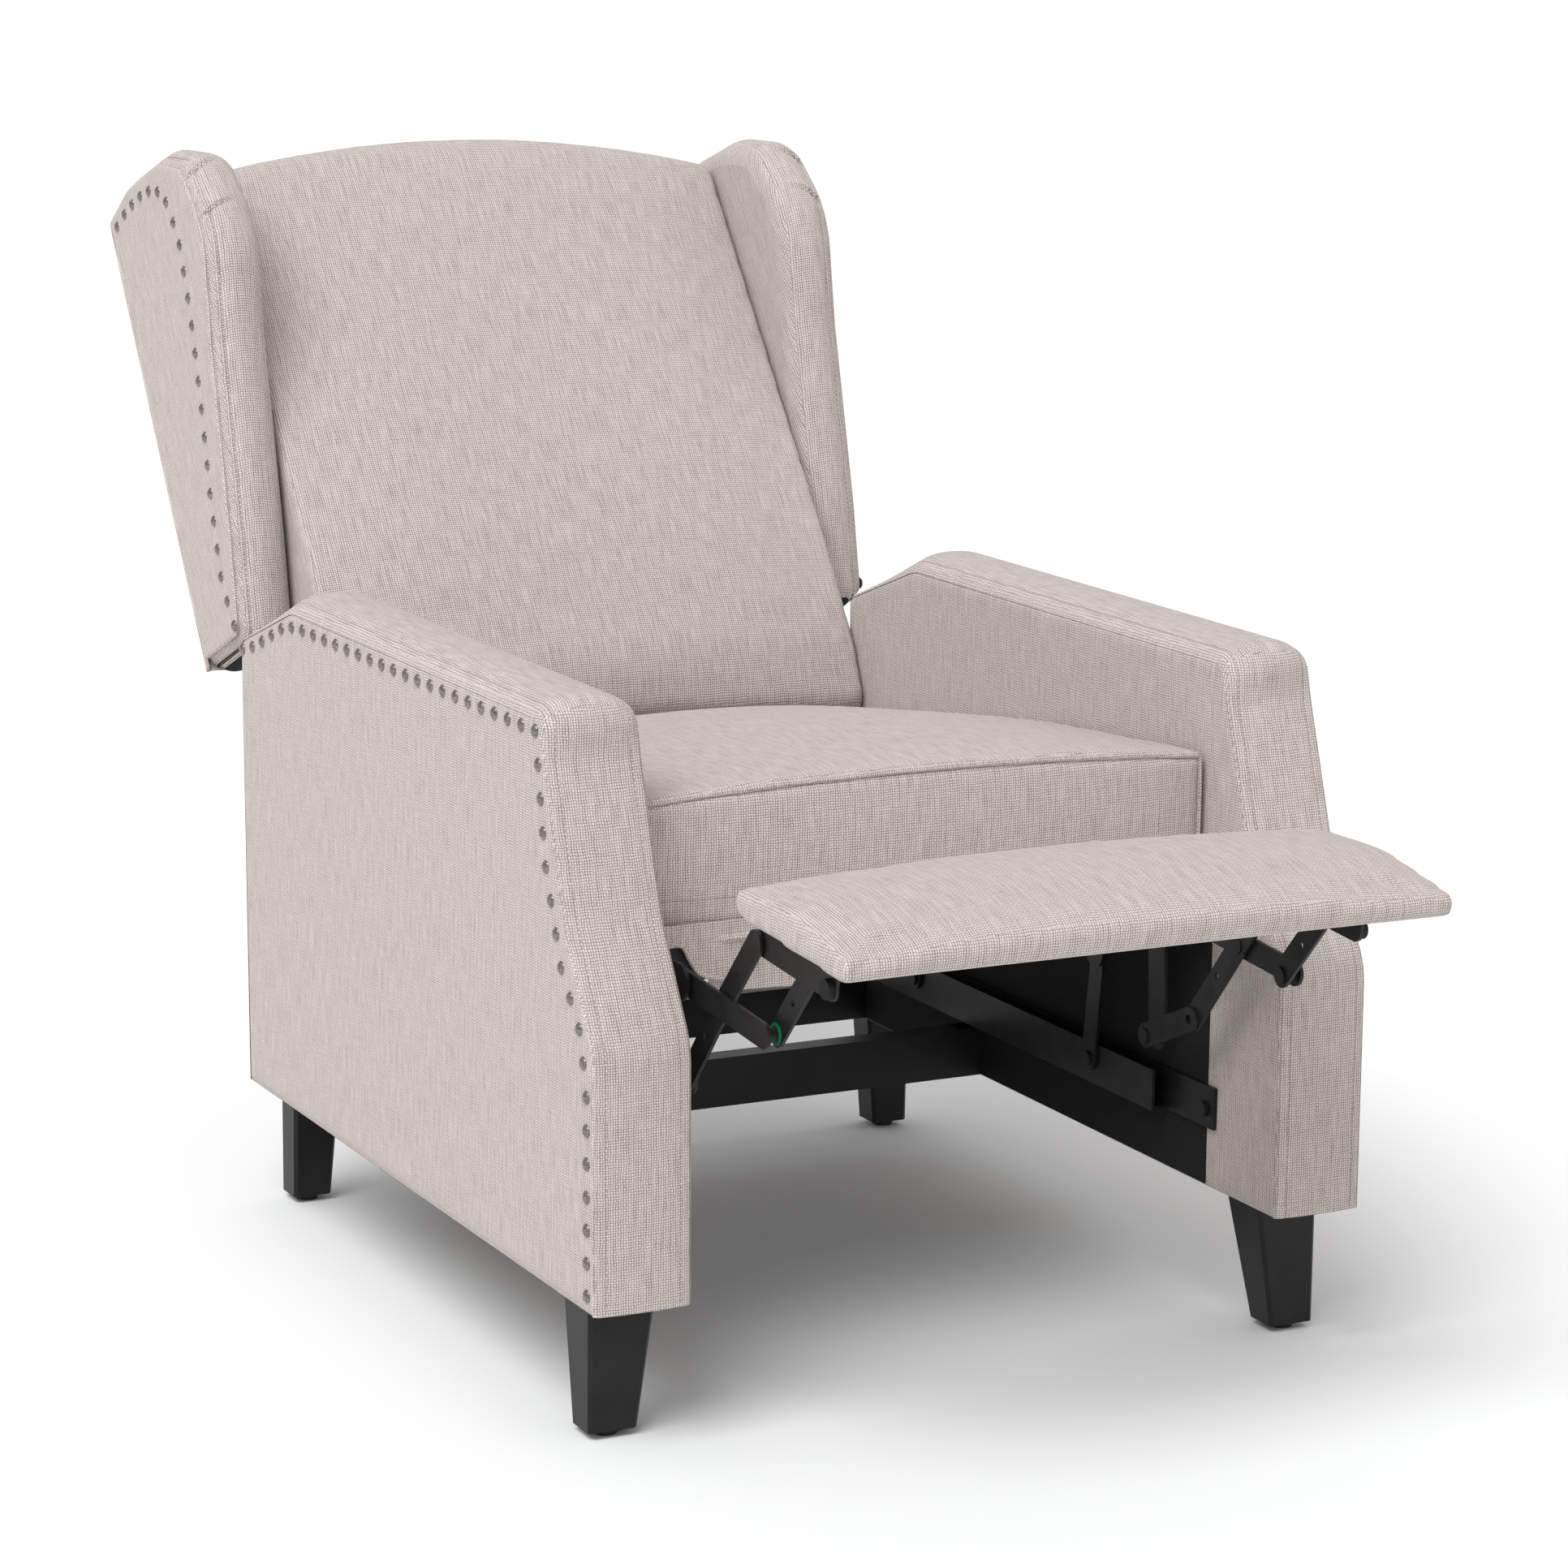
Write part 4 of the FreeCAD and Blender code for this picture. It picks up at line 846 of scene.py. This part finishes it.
WING_LINE = [(-0.0005, -0.008, 0), (-0.021, 0.103, 0.024), (0.073, 0.1416, 0.25),
             (0.2386, 0.198, 0.25),
             (0.344, 0.244, 0.11), (0.430, 0.2156, 0.046), (0.466, 0.1604, 0.050),
             (0.493, 0.066, 0.12), (0.4935, -0.008, 0)]
WING_SECTION = [(0.3240, 0.0230), (0.3240, 0.0195), (0.3238, 0.0168), (0.3230, 0.0150),
                (0.3212, 0.0138), (0.3198, 0.0146), (0.3186, 0.0128), (0.3168, 0.0098),
                (0.3142, 0.0074), (0.3122, 0.0068), (0.3106, 0.0060), (0.3075, 0.0032),
                (0.3030, 0.0012), (0.2970, 0.0), (0.2900, 0.0006), (0.2820, 0.0028),
                (0.2750, 0.0070), (0.2702, 0.0130), (0.2678, 0.0200), (0.2668, 0.0240)]
WING_FOOT_CORNER = (-0.021, 0.103)
WING_TOP_CORNER = (0.440, 0.190)
WING_STEPS = (44, 230, 100)                         # along the foot, the front and the top
WING_PLEATS = ((0.414, 0.224), (0.362, 0.240))      # where the folds leave the outer seam
PLEAT_HEIGHT = 0.0030
PLEAT_GROOVE = 0.0026
WING_CREST = 0.4930         # rise of the wing's top at the rear cover
PANEL_RISE = 0.4880         # rise of the rear cover's top beside the cushion
PANEL_ARCH = 0.021
PANEL_HALF = 0.3232
STITCH_PLACE = (0.3124, 0.0067)


def curve_through(points, per_leg):
    """Smooth curve through 2-D points."""
    out = []
    for i in range(len(points) - 1):
        a = Vector(points[max(i - 1, 0)])
        b, c = Vector(points[i]), Vector(points[i + 1])
        d = Vector(points[min(i + 2, len(points) - 1)])
        for k in range(per_leg):
            t = k / per_leg
            square, cube = 2 * a - 5 * b + 4 * c - d, 3 * b - a - 3 * c + d
            out.append(0.5 * ((2 * b) + (c - a) * t + square * t * t + cube * t ** 3))
    out.append(Vector(points[-1]))
    return out


def wing(name, side):
    line = rounded(WING_LINE, False, 0.003)
    foot_end = nearest_index(line, WING_FOOT_CORNER)
    front_end = nearest_index(line, WING_TOP_CORNER)
    legs = (line[:foot_end + 1], line[foot_end:front_end + 1], line[front_end:])
    parts = [resample(leg, steps) for leg, steps in zip(legs, WING_STEPS)]
    stations = parts[0] + parts[1][1:] + parts[2][1:]
    outward = normals(stations)
    section = curve_through(WING_SECTION, 2)
    pleats = [nearest_index(stations, p) for p in WING_PLEATS]
    rows, threads = [], []
    for i, place in enumerate(stations):
        row = []
        for x, inset in section:
            lift = 0.0
            reach = smooth(0.022, x - 0.283) * (1 - smooth(0.004, x - 0.3165))
            for pleat in pleats:
                ahead = (i - pleat) * 0.0022 - (0.316 - x) * 0.45
                if ahead > 0:
                    lift += PLEAT_HEIGHT * exp(-ahead / 0.012) * reach
                elif ahead > -0.008:
                    lift -= PLEAT_GROOVE * (1 + ahead / 0.008) * reach
            spot = place - outward[i] * (inset - lift)
            row.append(back_point(side * x, spot.x, max(0.0, spot.y)))
        rows.append(row)
        spot = place - outward[i] * (STITCH_PLACE[1] - 0.0002)
        if spot.y > 0.004:
            out = back_point(0, *(spot + outward[i])) - back_point(0, *spot)
            out = (out + Vector((side * 0.9, 0, 0))).normalized()
            threads.append((back_point(side * STITCH_PLACE[0], spot.x, spot.y), out))

    def face(column, x):
        """Panel that fills the inside of one edge of the sweep."""
        edge = []
        for i, place in enumerate(stations):
            spot = place - outward[i] * section[column].y
            edge.append(Vector((spot.x, max(0.0, spot.y))))
        wide, tall = WING_STEPS[:2]
        bottom, front = edge[:wide + 1], edge[wide:wide + tall + 1]
        top = list(reversed(edge[wide + tall:]))
        vs = [r / tall for r in range(tall + 1)]
        rear = [edge[0].lerp(edge[-1], v) for v in vs]
        grid = coons(bottom, top, rear, front, [c / wide for c in range(wide + 1)], vs)
        return [[back_point(side * x, spot.x, max(0.0, spot.y)) for spot in row] for row in grid]
    grids = [rows, face(0, WING_SECTION[0][0]), face(-1, WING_SECTION[-1][0])]
    cover = joined_grids("wing_cover_" + name, grids, FABRIC_BACK)
    cover.data.materials.append(CLOTH_BLACK)
    foot = back_point(0, 0, 0)
    up = (back_point(0, 1, 0) - foot).normalized()
    for polygon in cover.data.polygons:
        low = (polygon.center - foot).dot(up) < 0.005
        if low and polygon.normal.dot(up) < -0.8 and abs(polygon.center.x) < 0.3195:
            polygon.material_index = 1
    thread = stitches("wing_topstitch_" + name, [threads], THREAD)
    for piece in (cover, thread):
        finish_piece(piece, "back")
    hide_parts("wing_upholstery_" + name)


def cushion_corners(x):
    share = 1 - (x / BACK_HALF) ** 2
    arch = 0.030 * share
    crown = 0.010 * share - 0.003
    top = BACK_HEIGHT - 0.028 + arch
    corners = [(-0.0213, 0.048, 0.004), (-0.1590, 0.132, 0.012),
               (-0.1420, 0.1585 + crown * 0.3, 0.016), (-0.0853, 0.170 + crown, 0.110),
               (0.030, 0.1665 + crown, 0.200), (top, 0.134 + crown, 0.024),
               (top + 0.030 - arch * 0.3, 0.010, 0.006), (0.2, 0.010, 0)]
    return [tuple(back_place(rise, depth)) + (radius,) for rise, depth, radius in corners]


def back_cushion():
    obj = solid("back_cushion_cover", CUSHION_HALF, cushion_corners, 200, FABRIC_BACK)

    def held(places):
        behind = (places[:, 1] - SHIFT - BACK_FOOT[0]) * -cos(BACK_LEAN)
        depth = behind + (places[:, 2] - BACK_FOOT[1]) * sin(BACK_LEAN)
        return np.where((depth < 0.03) | (abs(places[:, 0]) > 0.2625), 1.0, 0.0)
    inflate(obj, VOXEL, 0.009, 0.10, held)
    keep_between_arms(obj)
    finish_piece(obj, "back")
    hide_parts("back_cushion")


def underside():
    """Black cloth under the back, between the brackets."""
    rows = []
    for r in range(25):
        v = r / 24
        row = []
        for c in range(61):
            x = UNDER_HALF * (c / 30 - 1)
            sag = 0.0012 * sin(pi * v) * sin(pi * c / 60)
            depth = UNDER_START[1] + (UNDER_REAR - UNDER_START[1]) * v
            row.append(back_point(x, UNDER_START[0] + UNDER_RISE * v - sag, depth))
        rows.append(row)
    obj = grid_mesh("back_underside_sheet", rows, CLOTH_BLACK)
    finish_piece(obj, "back")
    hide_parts("back_underside_cloth")


def panel_top(x):
    """Rise of the rear cover's top edge: an arch behind the cushion, then the crest of the wing."""
    x = abs(x)
    if x < 0.2645:
        return PANEL_RISE + PANEL_ARCH * (1 - (x / CUSHION_HALF) ** 2)
    if x < 0.2960:
        return PANEL_RISE + (WING_CREST - PANEL_RISE) * smooth(0.010, x - 0.2645)
    places = sorted(p for p in WING_SECTION if p[0] > 0.2960 and p[1] <= 0.0195)
    return WING_CREST - np.interp(x, [p[0] for p in places], [p[1] for p in places])


def outer_panel():
    """Rear cover over the back and both wings, with a welt round its sides and top."""
    half = PANEL_HALF
    places = [half * sin(pi / 2 * (c / 70 - 1)) for c in range(141)]
    rows = []
    for r in range(91):
        v = r / 90
        row = []
        for x in places:
            top = panel_top(x)
            rise = -0.001 + (top + 0.001) * v
            edge = min(half - abs(x), v * top, (1 - v) * top)
            depth = -0.0045 * smooth(0.12, edge) - 0.0012 * smooth(0.006, edge)
            depth += 0.0035 * (1 - smooth(0.004, edge))
            row.append(back_point(x, rise, depth))
        rows.append(row)
    obj = grid_mesh("back_outer_cover", rows, FABRIC_BACK)
    finish_piece(obj, "back")
    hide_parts("back_outer_panel")
    side_top = panel_top(half) - 0.002
    edge = [back_point(-half + 0.0005, side_top * k / 60, 0.0015) for k in range(60)]
    edge += [back_point(x, panel_top(x) - 0.0008, 0.0015) for x in places]
    edge += [back_point(half - 0.0005, side_top * (1 - k / 60), 0.0015) for k in range(1, 61)]
    welt = tube("back_outer_welt", softened(even_line(edge, 0.004), 6), 0.0022, FABRIC_WELT)
    finish_piece(welt, "back")


# Seat

SEAT_HALF = 0.263
SEAM_TOP = (0.4865, 0.4995)     # height of the front's upper seam at its ends and in the middle
SEAM_SIDE = (0.378, 0.4860)     # lower and upper end of its side seams


def seat_section(x):
    share = 1 - (x / SEAT_HALF) ** 2
    crown = 0.022 * share - 0.006
    front = -0.283 - 0.012 * share
    return [(front, 0.387, 0.004), (front - 0.002, 0.488 + 0.013 * share, 0.006),
            (-0.040, 0.476 + crown, 0.3), (0.150, 0.449 + crown, 0.3),
            (0.308, 0.422 + 0.3 * crown, 0.014), (0.306, 0.387, 0.008)]


def seat_cushion():
    obj = solid("seat_cushion_cover", SEAT_HALF, seat_section, 220, FABRIC)

    def held(places):
        return np.where((places[:, 2] < 0.392) | (abs(places[:, 0]) > 0.2605), 1.0, 0.0)
    inflate(obj, VOXEL, 0.009, 0.12, held)
    keep_between_arms(obj)
    low, high = SEAM_TOP
    top = []
    for k in range(161):
        x = (SEAT_HALF - 0.004) * (2 * k / 160 - 1)
        share = 1 - (x / SEAT_HALF) ** 2
        top.append(Vector((x, -0.2835 - 0.015 * share + SHIFT, low + (high - low) * share)))
    low, high = SEAM_SIDE
    corners = [[Vector((sign * (SEAT_HALF - 0.001), -0.2840 + SHIFT, low + (high - low) * k / 50))
                for k in range(51)] for sign in (1, -1)]
    crease(obj, [top] + corners, 0.010, 0.0030)
    finish_piece(obj, "seat")
    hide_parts("seat_cushion")
    tree = surface_tree(obj)
    welts = (("seat_welt_top", top, 0.0027), ("seat_welt_left", corners[0][6:], 0.0022),
             ("seat_welt_right", corners[1][6:], 0.0022))
    for name, line, size in welts:
        path = softened([p for p, _ in on_surface(tree, line, 0.0017)], 40)
        finish_piece(tube(name, path, size, FABRIC_WELT), "seat")
    apron(tree)


FLAP_EDGE = [(0.2625, 0.346), (0.2500, 0.348), (0.2460, 0.362), (0.2430, 0.3725),
             (0.2230, 0.3725), (0.2190, 0.362), (0.2100, 0.347), (0.1930, 0.3425),
             (0.1780, 0.3430), (0.1690, 0.3480), (0.1615, 0.3600), (0.1560, 0.3750)]
APRON_TOP = 0.3885          # height of the line that the apron hangs from
APRON_LOW = 0.3270
APRON_HALF = 0.200
APRON_FRONT = -0.2912
FLAP_FRONT = -0.2950
STRIP_TOP = 0.4060
WELT_LOW = 0.3735           # height of the welt along the bottom of the seat's front


def front_strip(tree):
    """Lower edge of the seat's front, over the frame, closed by a welt."""
    reach = SEAT_HALF - 0.0008
    rows = []
    for r in range(13):
        z = STRIP_TOP - (STRIP_TOP - WELT_LOW) * r / 12
        row = []
        for c in range(161):
            x = reach * (c / 80 - 1)
            start = Vector((min(max(x, -0.2600), 0.2600), -0.6, max(z, 0.3970)))
            hit = tree.ray_cast(start, Vector((0, 1, 0)), 0.5)
            row.append([x, hit[0].y, z])
        rows.append(row)
    fronts = np.array([[p[1] for p in row] for row in rows])
    for _ in range(12):
        fronts[:, 1:-1] = (fronts[:, :-2] + fronts[:, 1:-1] * 2 + fronts[:, 2:]) / 4
    rows = [[Vector((p[0], y - 0.0007, p[2])) for p, y in zip(row, line)]
            for row, line in zip(rows, fronts)]
    obj = grid_mesh("seat_front_strip", rows, FABRIC)
    finish_piece(obj, "seat")
    path = [p + Vector((0, -0.0026, 0)) for p in rows[-1]]
    finish_piece(tube("seat_welt_low", path, 0.0035, FABRIC_WELT), "seat")


def apron(tree):
    """Cloth under the seat's front: a cut flap at each side and a middle piece set back."""
    front_strip(tree)
    rows = []
    for r in range(25):
        v = r / 24
        row = []
        for c in range(121):
            x = APRON_HALF * (c / 60 - 1)
            low = APRON_LOW + 0.004 * (x / APRON_HALF) ** 2
            z = APRON_TOP + (low - APRON_TOP) * v
            wave = 0.0010 * sin(x * 70 + 0.5) * v
            row.append(Vector((x, APRON_FRONT - 0.001 * v - abs(wave) + SHIFT, z)))
        rows.append(row)
    obj = grid_mesh("seat_apron_cloth", rows, FABRIC)
    finish_piece(obj, "seat")
    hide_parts("seat_apron")
    for name, side in SIDES:
        edge = resample(softened(even_line([Vector(p) for p in FLAP_EDGE], 0.002), 8), 60)
        rows = []
        for r in range(13):
            v = r / 12
            row = []
            for place in edge:
                z = APRON_TOP + (place.y - APRON_TOP) * v
                wave = 0.0016 * sin(place.x * 120) * v
                row.append(Vector((side * place.x, FLAP_FRONT + wave - 0.002 * v * v + SHIFT, z)))
            rows.append(row)
        flap = grid_mesh("seat_apron_flap_" + name, rows, FABRIC)
        finish_piece(flap, "seat")
        hem = tube("seat_apron_hem_" + name, rows[-1], 0.0019, FABRIC_WELT)
        finish_piece(hem, "seat")


# Footrest

PAD_HALF = 0.262
PAD_COVER_HALF = 0.2645


def link_end(start, reach, angle):
    return (start[0] + reach * cos(angle), start[1] + reach * sin(angle))


DRIVE_ANGLE = radians(184.5)
PAD_REAR = link_end(link_end((-0.329, 0.352), 0.061, DRIVE_ANGLE), 0.082, radians(132.5))


def pad_place(ahead, above):
    return Vector((PAD_REAR[0] + ahead * cos(DRIVE_ANGLE) + above * sin(DRIVE_ANGLE),
                   PAD_REAR[1] + ahead * sin(DRIVE_ANGLE) - above * cos(DRIVE_ANGLE)))


def pad_section(x):
    share = 1 - (x / PAD_HALF) ** 2
    crown = 0.014 * share
    corners = [(0.022, 0.030, 0.003), (0.012 - 0.002 * share, 0.051 + 0.4 * crown, 0.008),
               (0.109, 0.058 + crown, 0.25), (0.206 + 0.003 * share, 0.049 + 0.4 * crown, 0.008),
               (0.196, 0.030, 0.003)]
    return [tuple(pad_place(ahead, above)) + (radius,) for ahead, above, radius in corners]


def footrest_pad():
    obj = solid("footrest_pad_cover", PAD_COVER_HALF, pad_section, 160, FABRIC)
    base = pad_place(0, 0)

    def above(y, z):
        """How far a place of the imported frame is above, as in pad_place."""
        return (y - SHIFT - base.x) * sin(DRIVE_ANGLE) - (z - base.y) * cos(DRIVE_ANGLE)

    def held(places):
        return np.where(above(places[:, 1], places[:, 2]) < 0.034, 1.0, 0.0)
    inflate(obj, 0.005, 0.006, 0.3, held)
    keep_between_arms(obj)
    finish_piece(obj, "footrest")
    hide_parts("footrest_pad")
    mesh = obj.data
    mesh.materials.append(CLOTH_BLACK)
    for polygon in mesh.polygons:
        height = above(polygon.center.y, polygon.center.z)
        if height < 0.0312 and abs(polygon.normal.z) > 0.8:
            polygon.material_index = 1
    nodes["footrest_board"].material_slots[0].material = CLOTH_BLACK


# Camera, light and floor

CAMERA_ANGLES = (-26.7635, 11.4452, 0.5726)         # azimuth, pitch and roll, in degrees
CAMERA_PLACE = (-1.6945, -3.3865, 1.1953)
CAMERA_LENS = 102.53
FLOOR_HALF = 120


def photo_camera():
    azimuth, pitch, roll = (radians(angle) for angle in CAMERA_ANGLES)
    ahead = Vector((-sin(azimuth) * cos(pitch), cos(azimuth) * cos(pitch), -sin(pitch)))
    right = Vector((cos(azimuth), sin(azimuth), 0))
    up = right.cross(ahead)
    right, up = right * cos(roll) + up * sin(roll), up * cos(roll) - right * sin(roll)
    data = bpy.data.cameras.new("camera")
    data.sensor_width = 36.0
    data.lens = CAMERA_LENS
    data.clip_end = 100.0
    camera = bpy.data.objects.new("camera", data)
    matrix = Matrix((right, up, -ahead)).transposed().to_4x4()
    x, y, z = CAMERA_PLACE
    matrix.translation = Vector((x, y + SHIFT, z))
    camera.matrix_world = matrix
    scene.collection.objects.link(camera)
    scene.camera = camera


def studio():
    floor_mesh = bpy.data.meshes.new("floor")
    corners = [(x * FLOOR_HALF, y * FLOOR_HALF, 0) for x, y in ((-1, -1), (1, -1), (1, 1), (-1, 1))]
    floor_mesh.from_pydata(corners, [], [(0, 1, 2, 3)])
    material, _, surface = shader("pale_floor")
    surface.inputs["Base Color"].default_value = (0.86, 0.86, 0.86, 1)
    surface.inputs["Roughness"].default_value = 0.9
    surface.inputs["Specular IOR Level"].default_value = 0.1
    new_object("floor", floor_mesh, material)
    world = bpy.data.worlds.new("studio")
    world.use_nodes = True
    world.node_tree.nodes["Background"].inputs[0].default_value = (1.0, 1.0, 1.0, 1)
    world.node_tree.nodes["Background"].inputs[1].default_value = 0.72
    scene.world = world
    scene.view_settings.view_transform = "Standard"
    data = bpy.data.lights.new("key", "SUN")
    data.energy = 2.3
    data.angle = radians(38)
    data.color = (0.97, 0.985, 1.0)
    key = bpy.data.objects.new("key", data)
    key.rotation_euler = Vector((0.500, 0.330, -0.800)).to_track_quat("-Z", "Y").to_euler()
    scene.collection.objects.link(key)


photo_camera()
dress_nodes()
for side_name, side_sign in SIDES:
    arm(side_name, side_sign)
    wing(side_name, side_sign)
back_cushion()
outer_panel()
underside()
seat_cushion()
footrest_pad()
studio()
